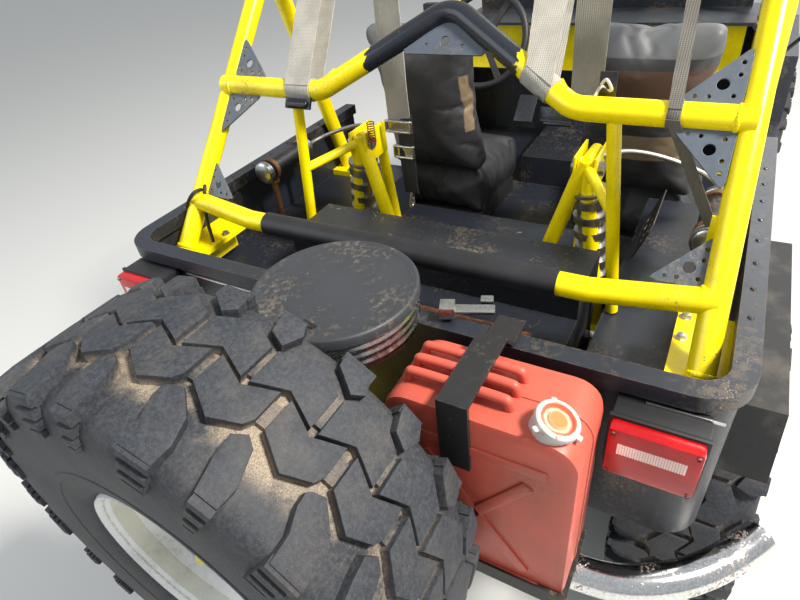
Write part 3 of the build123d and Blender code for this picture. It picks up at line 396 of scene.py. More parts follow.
def make_materials():
    """Every material by its short name."""
    tan = (0.30, 0.23, 0.15)
    return {
        "tub": painted("tub_black", (0.015, 0.019, 0.028), (0.22, 0.22, 0.21), tan, 0.38, 0.7, 0.22, 1),
        "yellow": painted("cage_yellow", (1.0, 0.80, 0.0), (0.10, 0.08, 0.04), tan, 0.24, 0.10, 0.05, 0, black_middle),
        "black": painted("frame_black", (0.012, 0.012, 0.013), (0.12, 0.10, 0.09), tan, 0.5, 0.4, 0.4, 1),
        "blue_grey": painted("gusset_blue_grey", (0.085, 0.105, 0.135), (0.28, 0.27, 0.25), tan, 0.4, 0.3, 0.3),
        "red": painted("can_red", (0.55, 0.095, 0.060), (0.24, 0.11, 0.07), tan, 0.42, 0.35, 0.2, 1),
        "white": painted("wheel_white", (0.74, 0.76, 0.77), (0.16, 0.10, 0.07), tan, 0.32, 0.3, 0.35),
        "tyre": rubber("tyre_rubber", (0.018, 0.020, 0.024), (0.20, 0.17, 0.13), 0.45),
        "rubber": rubber("black_rubber", (0.012, 0.012, 0.013), (0.16, 0.14, 0.11), 0.4),
        "plastic": moulded("black_plastic", (0.012, 0.012, 0.014)),
        "lens": moulded("lens_red", (0.35, 0.004, 0.006), 0.16),
        "chrome": bare_metal("chrome_pitted", (0.80, 0.80, 0.80), 0.12, 0.7),
        "steel": bare_metal("bare_steel", (0.46, 0.45, 0.44), 0.38, 0.6),
        "cast": bare_metal("cast_iron", (0.10, 0.09, 0.085), 0.6, 0.8),
        "alloy": bare_metal("alloy", (0.62, 0.63, 0.65), 0.3, 0.1),
        "glass": clear("glass", (0.85, 0.93, 0.92)),
        "lamp_glass": clear("lamp_glass", (0.9, 0.92, 0.94)),
        "vinyl": moulded("seat_vinyl", (0.022, 0.023, 0.027), 0.55),
        "webbing": webbing("webbing_grey", (0.42, 0.40, 0.35)),
        "galvanised": bare_metal("galvanised", (0.55, 0.57, 0.58), 0.24, 0.2),
        "box": painted("box_black", (0.016, 0.019, 0.026), (0.24, 0.24, 0.23), tan, 0.34, 0.8, 0.3, 1, rusty_step),
        "mud": mud_rubber(),
        "webbing_dark": webbing("webbing_dark", (0.035, 0.035, 0.038)),
        "webbing_thin": webbing("webbing_thin", (0.15, 0.14, 0.12)),
        "braid": bare_metal("braided_hose", (0.50, 0.49, 0.46), 0.5, 0.2),
        "thread": moulded("thread_white", (0.55, 0.53, 0.48), 0.8),
        "zinc": bare_metal("zinc_plate", (0.66, 0.66, 0.64), 0.28, 0.25),
        "dark_steel": bare_metal("dark_steel", (0.075, 0.078, 0.085), 0.4, 0.3),
        "rusty": bare_metal("rusty_posts", (0.30, 0.16, 0.09), 0.6, 1.0),
        "brass": bare_metal("brass", (0.62, 0.42, 0.16), 0.3, 0.2),
        "dark_red": moulded("dark_red", (0.16, 0.012, 0.012), 0.45),
        "lid": painted("canister_lid", (0.034, 0.038, 0.046), (0.16, 0.16, 0.15), tan, 0.48, 0.9, 0.35),
        "strip": moulded("lamp_strip", (0.74, 0.60, 0.55), 0.2),
        "filler": filler_paint(),
        "seat_back": seat_cover(),
    }


# Mesh drawing


def frame_at(origin, across, along):
    """A frame in metres from a point: first axis across, second as near as it can be to along."""
    first = Vector(across).normalized()
    third = first.cross(Vector(along)).normalized()
    matrix = Matrix((first, third.cross(first), third)).transposed().to_4x4()
    matrix.translation = origin
    return matrix @ Matrix.Scale(0.001, 4)


def level_at(station, y, height):
    """A frame along the vehicle's own axes."""
    return frame_at(place(station, y, height), (1, 0, 0), (0, 1, 0))


def facing_back(station, y, height):
    """A frame with its first axis to the left and its second up."""
    return frame_at(place(station, y, height), (0, 1, 0), (0, 0, 1))


def add(name, data, skin):
    """A new piece with its material, riding on the chassis."""
    made = link(name, data)
    data.materials.append(skin.material)
    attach(made, "chassis")
    return made


class Draft:
    """A mesh drawn in millimetres, each part in a frame of its own."""

    def __init__(self):
        self.verts = []
        self.faces = []

    def take(self, part, bend):
        """Takes over a part's faces, its points moved by a function."""
        part.verts.index_update()
        start = len(self.verts)
        self.verts += [bend(vert.co) for vert in part.verts]
        self.faces += [[start + vert.index for vert in face.verts] for face in part.faces]
        part.free()

    def prism(self, outline, low, high, bend, bevel=0.0, step=0.0):
        """An outline raised from low to high, its upper edges rounded, cut across every step."""
        part = bmesh.new()
        ring = [part.verts.new((x, y, low)) for x, y in outline]
        grown = bmesh.ops.extrude_face_region(part, geom=[part.faces.new(ring)])["geom"]
        tops = {item for item in grown if isinstance(item, bmesh.types.BMVert)}
        bmesh.ops.translate(part, verts=list(tops), vec=(0, 0, high - low))
        if bevel:
            rim = [edge for edge in part.edges if edge.verts[0] in tops and edge.verts[1] in tops]
            bmesh.ops.bevel(part, geom=rim, offset=bevel, segments=2, affect="EDGES", profile=0.6)
        if step:
            lowest = min(x for x, y in outline)
            count = int((max(x for x, y in outline) - lowest) / step)
            for cut in range(1, count + 1):
                everything = part.verts[:] + part.edges[:] + part.faces[:]
                bmesh.ops.bisect_plane(part, geom=everything, plane_co=(lowest + cut * step, 0, 0), plane_no=(1, 0, 0))
        self.take(part, bend)

    def block(self, size, matrix, bevel=2.0):
        """A box with all its edges rounded, its middle at the frame's origin."""
        part = bmesh.new()
        bmesh.ops.create_cube(part, size=1.0)
        bmesh.ops.scale(part, verts=part.verts, vec=size)
        bmesh.ops.bevel(part, geom=part.edges[:], offset=bevel, segments=2, affect="EDGES", profile=0.6)
        self.take(part, lambda spot: matrix @ spot)

    def turned(self, profile, matrix, steps):
        """A line of (radius, height) turned about the frame's third axis."""
        start = len(self.verts)
        for ring in range(steps):
            angle = 2 * math.pi * ring / steps
            self.verts += [matrix @ Vector((r * math.cos(angle), r * math.sin(angle), h)) for r, h in profile]
        count = len(profile)
        for ring in range(steps):
            one, two = start + ring * count, start + (ring + 1) % steps * count
            self.faces += [[one + k, two + k, two + k + 1, one + k + 1] for k in range(count - 1)]

    def rod(self, start, end, radius, steps=20, rim=1.0):
        """A closed round bar between two points in metres, its rims slightly rounded."""
        line = end - start
        side = Vector((0, 0, 1)) if abs(line.normalized().z) < 0.9 else Vector((1, 0, 0))
        matrix = frame_at(start, side.cross(line), line.cross(side.cross(line)))
        length = line.length * 1000
        profile = [(0.01, 0), (radius - rim, 0), (radius, rim)]
        profile += [(radius, length - rim), (radius - rim, length), (0.01, length)]
        self.turned(profile, matrix, steps)

    def ribbon(self, path, thick, columns=6):
        """A flat band through (left point, right point, outward) rows, in metres."""
        start = len(self.verts)
        for left, right, outward in path:
            row = [left.lerp(right, k / columns) for k in range(columns + 1)]
            self.verts += [spot + outward * thick / 2000 for spot in row]
            self.verts += [spot - outward * thick / 2000 for spot in reversed(row)]
        count = 2 * columns + 2
        for row in range(len(path) - 1):
            one, two = start + row * count, start + (row + 1) * count
            for k in range(count):
                other = (k + 1) % count
                self.faces.append([one + k, one + other, two + other, two + k])
        self.faces.append([start + k for k in range(count)])
        self.faces.append([start + (len(path) - 1) * count + k for k in reversed(range(count))])

    def mesh(self, name, angle=35):
        """The finished mesh, its normals outward and its corners sharp beyond an angle."""
        data = bpy.data.meshes.new(name)
        data.from_pydata(self.verts, [], self.faces)
        part = bmesh.new()
        part.from_mesh(data)
        bmesh.ops.remove_doubles(part, verts=part.verts, dist=0.00002)
        bmesh.ops.recalc_face_normals(part, faces=part.faces)
        part.to_mesh(data)
        part.free()
        data.shade_smooth()
        data.set_sharp_from_angle(angle=math.radians(angle))
        return data

    def piece(self, name, skin, slot, angle=35):
        return add(name, self.mesh(name, angle), skin)


def plate(name, outline, holes, thick, matrix, skin, rim=0.8):
    """A flat plate with round holes (x, y, radius), its outline in millimetres in its frame."""
    data = bpy.data.curves.new(name, "CURVE")
    data.dimensions = "2D"
    data.fill_mode = "BOTH"
    data.extrude = thick / 2 - rim
    data.bevel_depth = rim
    loops = [outline]
    for x, y, radius in holes:
        turns = [2 * math.pi * k / 20 for k in range(20)]
        loops.append([(x + radius * math.cos(turn), y + radius * math.sin(turn)) for turn in turns])
    for loop in loops:
        spline = data.splines.new("POLY")
        spline.points.add(len(loop) - 1)
        for dot, (x, y) in zip(spline.points, loop):
            dot.co = (x, y, 0, 1)
        spline.use_cyclic_u = True
    flat = link(name + "_flat", data)
    bpy.context.view_layer.update()
    mesh = bpy.data.meshes.new_from_object(flat)
    bpy.data.objects.remove(flat)
    bpy.data.curves.remove(data)
    mesh.transform(matrix)
    mesh.shade_smooth()
    mesh.set_sharp_from_angle(angle=math.radians(30))
    mesh.name = name
    mesh.materials.clear()
    return add(name, mesh, skin)


def bent_tube(name, points, radius, skin):
    """A tube along a smooth line, closed at both ends."""
    data = bpy.data.curves.new(name, "CURVE")
    data.dimensions = "3D"
    data.bevel_depth = radius / 1000
    data.bevel_resolution = 4
    data.use_fill_caps = True
    spline = data.splines.new("NURBS")
    spline.points.add(len(points) - 1)
    for dot, spot in zip(spline.points, points):
        dot.co = (*spot, 1)
    spline.order_u = 3
    spline.use_endpoint_u = True
    spline.resolution_u = 8
    return add(name, data, skin)


# Tyres: interlocking mud tread

TREAD_RADIUS = 457.0
PITCHES = 24
ZIGZAG = 20.0
LUG_DEPTH = 20.0
FIRST_LUG = 8.0

# Outlines in degrees round the tyre and in millimetres from the zigzag groove
REAR_LUG = [(6.4, 8), (0, -17), (-6.4, 8), (-6.3, -46), (-5.2, -62), (0.2, -82), (6.5, -50)]
FRONT_LUG = [(6.7, -8), (0, 17), (-6.7, -8), (-6.9, 58), (-0.6, 86), (6.7, 58)]
REAR_WIDE = [(10, -77), (9, -69), (6.6, -63), (2.3, -95), (0.7, -133), (1, -166), (7.9, -166), (8.2, -128), (9.8, -97)]
REAR_NARROW = [(10.3, -80), (7.8, -66), (5.7, -78), (3.6, -128), (3.9, -160), (8.4, -160), (9.9, -112)]
FRONT_WIDE = [(5.2, 128), (4.1, 88), (6.5, 72), (11.5, 100), (12.2, 128)]
FRONT_NARROW = [(6.6, 128), (5.2, 103), (6.9, 68), (10.6, 82), (11.8, 116), (12, 128)]

# Radii of the bars that carry a shoulder lug down the sidewall, and how far out they stand
SIDE_BARS = [(449, 429, 152), (425, 409, 157), (405, 391, 160), (387, 377, 160)]

# Radius and distance from the middle round the carcass, from bead to bead
CARCASS = [
    (193, 118), (206, 130), (214, 137), (226, 142), (250, 148), (262, 149), (264, 151), (276, 152), (278, 150),
    (300, 153), (340, 154), (372, 153), (396, 150), (414, 146), (426, 139), (433, 128), (437, 108), (437, 50), (437, 0),
]


def round_tyre(spot_u, across, radius):
    """A point of the tread or the sidewall on the tyre, in metres: first axis along the axle."""
    angle = spot_u / TREAD_RADIUS
    return Vector((across, -radius * math.cos(angle), radius * math.sin(angle))) / 1000


def crown(across):
    """Radius over the lugs, slightly lower at the shoulders."""
    return TREAD_RADIUS - 6 * max(0.0, (abs(across) - 70) / 78) ** 2


def tread_bend(spot):
    across = spot.y + ZIGZAG
    return round_tyre(spot.x, across, crown(across) - LUG_DEPTH + spot.z)


def tyre_mesh():
    """Whole tyre: carcass, two rows of chevron lugs, shoulder lugs and their bars on the sidewalls."""
    tyre = Draft()
    degree = math.radians(1) * TREAD_RADIUS
    line = CARCASS + [(radius, -across) for radius, across in reversed(CARCASS[:-1])]
    turned = Matrix(((0, 0, 1, 0), (-1, 0, 0, 0), (0, 1, 0, 0), (0, 0, 0, 1)))
    tyre.turned(line, Matrix.Scale(0.001, 4) @ turned, 120)
    for pitch in range(PITCHES):
        middle = FIRST_LUG + pitch * 360 / PITCHES
        wide = pitch % 2 == 0
        # outline, angle of its middle, depth
        table = [
            (REAR_LUG, middle, LUG_DEPTH),
            (FRONT_LUG, middle + 7.5, LUG_DEPTH),
            (REAR_WIDE if wide else REAR_NARROW, middle, LUG_DEPTH),
            (FRONT_WIDE if wide else FRONT_NARROW, middle + 7.5, LUG_DEPTH),
            ([(6, -44), (9, -44), (9, -4), (6, -4)], middle, LUG_DEPTH * 0.45),
            ([(6, 6), (9, 6), (9, 54), (6, 54)], middle + 7.5, LUG_DEPTH * 0.45),
        ]
        for outline, turn, depth in table:
            drawn = [((turn + angle) * degree, across) for angle, across in outline]
            tyre.prism(drawn, -6, depth, tread_bend, 3.0 if depth == LUG_DEPTH else 1.5, 30)
        for side, low, high in ((-1, 1.0 if wide else 3.8, 8.2), (1, 12.2 if wide else 14, 19.6)):
            for row, (outer, inner, stand) in enumerate(SIDE_BARS):
                taper = 0.4 * row
                ends = [(middle + low + taper) * degree, (middle + high - taper * 0.5) * degree]
                drawn = [(ends[0], inner), (ends[1], inner), (ends[1], outer), (ends[0], outer)]
                bend = lambda spot, side=side: round_tyre(spot.x, side * spot.z, spot.y)
                tyre.prism(drawn, 134, stand, bend, 2.2)
    return tyre.mesh("mud_tyre", 40)


def make_tyres(skins):
    """The detailed tyre on all five wheels, one mesh for all of them."""
    data = tyre_mesh()
    data.materials.append(skins["mud"].material)
    table = [("spare_tyre", "chassis", 0.0)]
    for side, turn in (("left", 90.0), ("right", -90.0)):
        table += [("tyre_%s_%s" % (end, side), "wheel_%s_%s" % (end, side), turn) for end in ("rear", "front")]
    for node, body, turn in table:
        low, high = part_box(node)
        made = link("mud_" + node, data)
        made.matrix_world = Matrix.Translation((low + high) / 2) @ Matrix.Rotation(math.radians(turn), 4, "Z")
        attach(made, body)
        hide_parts(node)


def mud_rubber():
    """Tyre rubber with tan dust on the groove floors and worn grey lug faces."""
    skin = Surface("tyre_mud_rubber", (0.03, 0.033, 0.038), 0.62)
    across, y, z = skin.parts()
    radius = skin.math("SQRT", skin.plus(skin.times(y, y), skin.times(z, z)))
    cloud, fine, grit = skin.noise(11, 6, 0.6), skin.noise(150, 6, 0.7), skin.noise(520, 3, 0.7)
    base = skin.mix(skin.step(fine, 0.35, 0.7), (0.014, 0.017, 0.023), (0.040, 0.045, 0.056))
    tan = skin.mix(skin.step(grit, 0.35, 0.65), (0.17, 0.135, 0.095), (0.42, 0.34, 0.25))
    inside = skin.scale(skin.step(skin.math("ABSOLUTE", across), 0.100, 0.062), 0.05, 1.0)
    groove = skin.times(skin.step(radius, 0.4535, 0.437), inside)
    floor = skin.times(groove, skin.step(skin.plus(cloud, skin.scale(fine, -0.12, 0.12)), 0.36, 0.62))
    speck = skin.times(skin.step(grit, 0.64, 0.70), 0.25)
    dust = skin.most(skin.times(floor, 0.9), speck)
    film = skin.times(skin.step(cloud, 0.45, 0.75), 0.10)
    skin.feed("Base Color", skin.mix(skin.most(dust, film), base, tan))
    skin.feed("Roughness", skin.scale(fine, 0.55, 0.85))
    skin.bump(skin.plus(skin.times(fine, 0.8), grit), 0.0007, 0.55)
    return skin


# Harness webbing and what hangs on it

HOOP_BAR = (708.0, 605.0)
BAR = (445.0, 288.0)
PEAK = (575.0, 457.0)
BAR_BEND = 323.0
TUBE = 25.4
WEB = 3.0


def ring_frame(middle, along, aside):
    """A frame with its third axis along a bar, its first square to the bar and to a line aside."""
    across = Vector(along).cross(aside)
    return frame_at(middle, across, Vector(along).cross(across))


def hoop(y):
    """A point of the hoop's top bar."""
    return place(HOOP_BAR[0], y, HOOP_BAR[1])


def bar(y):
    """A point of the harness bar outside its raised middle."""
    return place(BAR[0], y, BAR[1])


def wound(draft, middle, along, width, radius=TUBE):
    """Webbing wound round a tube, its edges slightly turned in."""
    matrix = ring_frame(middle, along, (0.3, 0.2, 1))
    half, inner, outer = width / 2, radius + 0.6, radius + 0.6 + WEB
    ring = [(inner, -half), (outer - 0.8, -half), (outer, -half + 2)]
    ring += [(size, -level) for size, level in reversed(ring)]
    draft.turned(ring + ring[:1], matrix, 40)


def run(draft, start, end, width, towards=(-1, 0, 0.5), lift=0.0, slack=3.0):
    """Flat webbing from one tube to the other, slightly slack."""
    (first, along_first), (last, along_last) = start, end
    outward = Vector((0, 1, 0)).cross(last - first).normalized()
    if outward.dot(Vector(towards)) < 0:
        outward = -outward
    stand = (TUBE + WEB + 0.8 + lift) / 1000
    rows = []
    for step in range(13):
        share = step / 12
        middle = first.lerp(last, share)
        along = Vector(along_first).lerp(Vector(along_last), share)
        half = along.normalized() * width / 2000
        sag = -slack / 1000 * math.sin(math.pi * share)
        spot = middle + outward * (stand + sag)
        aside = outward.dot(half)
        rows.append((spot - half + outward * aside, spot + half - outward * aside, outward))
    draft.ribbon(rows, WEB)


def hang(draft, y, width, top, low):
    """Webbing hanging down behind the hoop, bowed slightly by its stiffness."""
    rows = []
    for step in range(15):
        share = step / 14
        height = top + (low - top) * share
        station = HOOP_BAR[0] - TUBE - WEB - 1 - 6.0 * math.sin(math.pi * share)
        twist = 2.5 * math.sin(3 * math.pi * share)
        left, right = place(station + twist, y + width / 2, height), place(station - twist, y - width / 2, height)
        rows.append((left, right, Vector((-1, 0, 0.05)).normalized()))
    draft.ribbon(rows, WEB)


def stitches(draft, matrix, width, length, rows):
    """Raised zigzag thread across a strap's end."""
    for row in range(rows):
        level = (row / (rows - 1) - 0.5) * length
        count = int(width / 7)
        for turn in range(count):
            x = (turn + 0.5 - count / 2) * 7
            lean = Matrix.Rotation(0.7 if turn % 2 else -0.7, 4, "Z")
            draft.block((6.5, 1.3, 1.2), matrix @ Matrix.Translation((x, level, WEB / 2 + 0.3)) @ lean, 0.4)


def make_straps(skins):
    """Five webbing straps on the cage with their stitched ends."""
    web, dark = skins["webbing"], skins["webbing_dark"]
    along = Vector((0, 1, 0))
    rise = (place(PEAK[0], 0, PEAK[1]) - bar(-BAR_BEND)).normalized()
    grip = bar(-BAR_BEND) + rise * 0.092
    # name, start, end, width
    table = [
        ("strap_left", (bar(384), along), (hoop(425), along), 76),
        ("strap_skewed", (grip, rise), (hoop(-215), along), 76),
        ("strap_thin", (bar(-520), along), (hoop(-492), along), 25),
    ]
    for name, start, end, width in table:
        draft = Draft()
        wound(draft, *start, width)
        wound(draft, *end, width)
        run(draft, start, end, width)
        if width > 50:
            run(draft, start, end, width - 2, (1, 0, -0.5), 1.0, -4.0)
        piece = draft.piece(name, web if width > 50 else skins["webbing_thin"], "webbing")
        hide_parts("harness")
    tail = Draft()
    reservoir = place(480, -632, 38)
    rows = []
    for step in range(9):
        share = step / 8
        spot = (bar(-520) + Vector((-0.03, 0, 0))).lerp(reservoir, share)
        rows.append((spot + Vector((0, 0.0125, 0)), spot - Vector((0, 0.0125, 0)), Vector((-1, 0, 0.1)).normalized()))
    tail.ribbon(rows, WEB)
    wound(tail, place(480, -632, 5), (1, 0, 0), 25, 34)
    piece = tail.piece("strap_thin_tail", skins["webbing_thin"], "webbing")
    # name, y, width, top, low, material
    hanging = [
        ("strap_long", 238, 76, 605, 130, web),
        ("strap_long_end", 218, 50, 150, -100, dark),
        ("strap_short", -298, 76, 605, 237, web),
    ]
    for name, y, width, top, low, skin in hanging:
        draft = Draft()
        if top > 500:
            wound(draft, hoop(y), along, width)
        hang(draft, y, width, top, low)
        piece = draft.piece(name, skin, "webbing")
    thread = Draft()
    stitches(thread, facing_back(676, 218, -75), 44, 34, 4)
    stitches(thread, facing_back(676, 238, 165), 66, 30, 3)
    stitches(thread, facing_back(676, -298, 262), 66, 30, 3)
    thread.piece("strap_stitching", skins["thread"], "webbing")


def make_buckles(skins):
    """Sliders, ratchet levers and the hook of the straps."""
    steel = skins["zinc"]
    # name, place, width, height
    table = [("slider_upper", (672, 238, 118), 88, 34), ("slider_lower", (672, 226, 40), 66, 38)]
    for name, spot, width, height in table:
        half, rise = width / 2, height / 2
        matrix = facing_back(*spot)
        outline = [(-half, -rise), (half, -rise), (half, rise), (-half, rise)]
        plate(name, outline, [], 3, matrix, steel, 1.2)
        bars = Draft()
        for level in (-0.9, 0.9):
            spots = [place(spot[0] - 5, spot[1] + side * half * 0.96, spot[2] + level * rise) for side in (-1, 1)]
            bars.rod(*spots, 4.5, 12)
        for side in (-1, 1):
            spots = [place(spot[0] - 5, spot[1] + side * half * 0.96, spot[2] + level * rise) for level in (-1, 1)]
            bars.rod(*spots, 4.5, 12)
        bars.piece(name + "_frame", steel, "bare_steel")
    hook = [(674, 218, -98), (668, 218, -112), (664, 220, -135), (672, 221, -150), (686, 221, -140), (684, 220, -122)]
    bent_tube("strap_hook", [place(*spot) for spot in hook], 5, steel)
    levers = Draft()
    # place, size, lean about the left direction
    table = [
        ((420, 384, 268), (8, 82, 44), 0.5),
        ((412, 384, 262), (14, 60, 22), 0.9),
        ((436, -296, 276), (7, 84, 26), 0.4),
        ((430, -300, 262), (12, 60, 18), 0.7),
        ((421, -232, 288), (6, 40, 60), 0.8),
    ]
    for spot, size, lean in table:
        matrix = level_at(*spot) @ Matrix.Rotation(lean, 4, "Y")
        levers.block(size, matrix, 2)
    levers.rod(place(410, 350, 262), place(410, 418, 262), 7, 16)
    levers.rod(place(428, -330, 262), place(428, -262, 262), 6, 16)
    levers.piece("ratchet_levers", skins["dark_steel"], "bare_steel")


# Gussets and small plates of the cage


def triangle(leg, cut=14.0):
    """Outline of a gusset plate with its points cut off."""
    near, far = cut * 0.7, leg * 0.97
    return [(0, 0), (leg - cut, 0), (leg, 4), (far, near), (near, far), (4, leg), (0, leg - cut)]


# Places as shares of a gusset's leg, and radii
GUSSET_HOLES = [(0.36, 0.36, 12), (0.16, 0.16, 5), (0.76, 0.12, 5), (0.54, 0.13, 5), (0.13, 0.54, 5), (0.12, 0.76, 5)]


def make_gussets(skins):
    """Perforated plates at the harness bar's and the cross tube's joints with the braces, and at the peak."""
    brace = Vector((580, 0, 657)).normalized()
    for word, side in SIDES:
        inward = Vector((0, -side, 0))
        # name, station, distance to the left, height, which way up the brace, leg
        table = [
            ("gusset_upper", 445, 652, 288, 1, 108),
            ("gusset_lower", 445, 656, 288, -1, 108),
            ("gusset_cross", 228, 667, 22, 1, 96),
        ]
        for name, station, y, height, way, leg in table:
            holes = [(leg * x, leg * y, size) for x, y, size in GUSSET_HOLES]
            corner = place(station, side * y, height) + inward * 0.024 + brace * way * 0.024
            matrix = frame_at(corner, inward, brace * way)
            plate(name + "_" + word, triangle(leg), holes, 5, matrix, skins["blue_grey"])
    peak = place(PEAK[0], 0, PEAK[1]) + Vector((-0.022, 0, -0.028))
    down = Vector((-0.61, 0, -0.79))
    outline = [(-12, 0), (12, 0), (104, 68), (96, 76), (-96, 76), (-104, 68)]
    plate("gusset_peak", outline, [(0, 46, 13), (-46, 56, 6), (46, 56, 6)], 5, frame_at(peak, (0, 1, 0), down),
          skins["blue_grey"])
    plate("wheel_box_plate", [(0, 0), (230, 0), (230, 110), (16, 110), (0, 92)],
          [(30, 84, 10), (62, 84, 10), (94, 84, 10), (30, 48, 10), (62, 48, 10), (120, 40, 16), (170, 40, 16)], 4,
          frame_at(place(690, -462, -205), (1, 0, 0), (0, -0.35, 0.94)), skins["black"])


def make_welds(skins):
    """Weld beads round the cage's joints and bolts in its foot plates."""
    beads = Draft()
    # middle, axis, radius
    table = []
    for side in (1, -1):
        table += [
            ((445, side * 628, 288), (0, 1, 0), 26.5),
            ((228, side * 640, 27), (0, 1, 0), 26.5),
            ((140, side * 670, -78), (580, 0, 657), 27),
            ((690, side * 640, 545), (580, 0, 657), 26.8),
        ]
    for spot, axis, radius in table:
        axis = Vector(axis).normalized()
        start = len(beads.verts)
        matrix = ring_frame(place(*spot), axis, (0.2, 0.3, 1))
        bead = [(radius - 2, -5), (radius + 1.2, -2.5), (radius + 1.8, 0), (radius + 1.2, 2.5), (radius - 2, 5)]
        beads.turned(bead, matrix, 72)
        for index in range(start, len(beads.verts)):
            ring = (index - start) // 5
            beads.verts[index] += axis * 0.0009 * math.sin(ring * math.pi / 1.5)
    beads.piece("weld_beads", skins["yellow"], "cage_yellow")
    bolts = Draft()
    spots = []
    for side in (1, -1):
        spots += [((station, side * 625, -90), (0, 0, 1)) for station in (95, 250, 320)]
        spots += [((station, side * 646, -193), (0, 0, 1)) for station in (945, 1048)]
    for spot, axis in spots:
        base = level_at(*spot)
        bolts.prism([(9.5 * math.cos(k * math.pi / 3), 9.5 * math.sin(k * math.pi / 3)) for k in range(6)], 1.5, 9,
                    lambda point, base=base: base @ point, 1.2)
        bolts.turned([(0.1, 0), (12, 0), (12, 1.6), (0.1, 1.6)], base, 20)
    bolts.piece("plate_bolts", skins["zinc"], "bare_steel")


# Rear fittings


def make_can(skins):
    """Fuel can: pressed body with crossed ribs, seam, three handles, and a filler on its shoulder."""
    can = Draft()
    back, right, width, low, top = -200, -536, 345, -430, 14
    middle_y, middle_h = right + width / 2, (low + top) / 2
    body = frame_at(place(back, middle_y, middle_h), (0, -1, 0), (0, 0, 1))
    half, rise = width / 2, (top - low) / 2

    def rounded(half_w, half_h, radius, upper):
        spots = []
        for x, y, start, size in ((1, 1, 0, upper), (-1, 1, 90, upper), (-1, -1, 180, radius), (1, -1, 270, radius)):
            for step in range(7):
                angle = math.radians(start + step * 15)
                across, up = x * (half_w - size), y * (half_h - size)
                spots.append((across + size * math.cos(angle), up + size * math.sin(angle)))
        return spots

    def bend(spot):
        return body @ spot

    shell = rounded(half, rise, 40, 52)
    can.prism(shell, 82, 164, lambda spot: body @ Vector((spot.x, spot.y, -spot.z)), 14)
    can.prism(shell, -84, -1, bend, 14)
    seam = rounded(half + 2.5, rise + 2.5, 42, 54)
    can.prism(seam, -86, -79, bend, 1.5)
    for sign in (1, -1):
        turn = Matrix.Rotation(sign * 0.95, 4, "Z")
        can.block((330, 24, 10), body @ Matrix.Translation((0, -26, -1)) @ turn, 4)
    can.block((250, 20, 9), body @ Matrix.Translation((0, 148, -1)), 4)
    can.block((250, 20, 9), body @ Matrix.Translation((0, -196, -1)), 4)
    piece = can.piece("can_body", skins["red"], "can_red", angle=40)
    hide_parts("jerry_can")
    handle = [(-410, 4), (-408, 30), (-398, 34), (-316, 34), (-236, 34), (-226, 30), (-224, 4)]
    for row, station in enumerate((-152, -117.5, -83)):
        spots = [place(station, y, height) for y, height in handle]
        bent_tube("can_handle_%d" % (row + 1), spots, 9, skins["red"])
    lean = Vector((0, -0.38, 1)).normalized()
    matrix = frame_at(place(-160, -480, 14), (1, 0, 0), lean.cross((1, 0, 0)))
    filler = Draft()
    profile = [(0.1, 22), (15, 22.5), (17, 19), (24, 19), (27, 24), (33, 25), (36, 22), (37, 14), (34, 8), (34, -16)]
    filler.turned(profile + [(30, -24)], matrix, 48)
    for turn in range(3):
        spin = Matrix.Rotation(2.1 * turn + 0.4, 4, "Z")
        filler.block((13, 10, 6), matrix @ spin @ Matrix.Translation((38, 0, 13)), 2)
    filler.piece("can_filler", skins["filler"], "can_red")


def make_canister(skins):
    """Round canister: lid with a rolled rim and a slight dome, and a body with three beads."""
    base = level_at(-51, -13, 0) @ Matrix.Diagonal((0.955, 0.955, 1, 1))
    lid = Draft()
    profile = [(0.1, 88.6), (60, 88.2), (120, 87), (150, 85.4), (160, 86.5), (167, 89.6), (172, 89), (175.5, 85)]
    lid.turned(profile + [(175.5, 68), (173, 66), (168, 66)], base, 96)
    piece = lid.piece("canister_lid", skins["lid"], "galvanised", angle=50)
    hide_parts("drum")
    body = Draft()
    line = [(168, 67), (167, 60)]
    for level in (50, 32, 14):
        line += [(167, level + 6), (170.5, level + 3), (170.5, level - 1), (167, level - 4)]
    body.turned(line + [(167, 1), (160, 0.4), (0.1, 0.4)], base, 96)
    body.piece("canister_body", skins["galvanised"], "galvanised", angle=50)
    mark = Draft()
    mark.block((34, 12, 1.2), frame_at(place(-168, -36, 87.6), (0.2, 1, 0), (-1, 0.2, 0)), 0.5)
    mark.piece("canister_mark", skins["dark_steel"], "galvanised")
    latch = Draft()
    for spot, size in (((64, -245, 10), (104, 26, 7)), ((36, -212, 22), (30, 34, 26)), ((104, -268, 12), (26, 20, 9))):
        latch.block(size, frame_at(place(*spot), (0.35, -0.94, 0), (0.94, 0.35, 0)), 2)
    latch.piece("canister_latch", skins["zinc"], "bare_steel")


def make_lamps(skins):
    """Boxed tail lamps: black housing, ribbed red lens with a clear strip, and four screws."""
    for word, side in SIDES:
        housing = Draft()
        y, height = side * 624, -98
        housing.block((62, 150, 112), level_at(-18, y, height), 5)
        housing.block((10, 156, 124), level_at(-46, y, height - 4), 3)
        piece = housing.piece("lamp_housing_" + word, skins["plastic"], "black_plastic")
        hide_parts("tail_lamps")
        lens = Draft()
        lens.block((30, 146, 114), level_at(-62, y, height - 4), 9)
        lens.piece("lamp_lens_" + word, skins["lens"], "lens_red", angle=50)
        strip = Draft()
        for rib in range(26):
            spot = place(-76.6, y - side * 1.5 + (rib - 12.5) * 4.1, -88)
            strip.block((3.4, 3.9, 25), frame_at(spot, (1, 0, 0), (0, 1, 0)), 1.2)
        strip.piece("lamp_strip_" + word, skins["strip"], "lens_red")
        screws = Draft()
        for across, rise in ((-64, 44), (64, 44), (-64, -52), (64, -52)):
            matrix = facing_back(-77, y + across, height + rise)
            screws.turned([(0.1, 1.6), (2.6, 1.8), (3.6, 0.6), (3.6, -2)], matrix, 16)
        screws.piece("lamp_screws_" + word, skins["zinc"], "bare_steel")


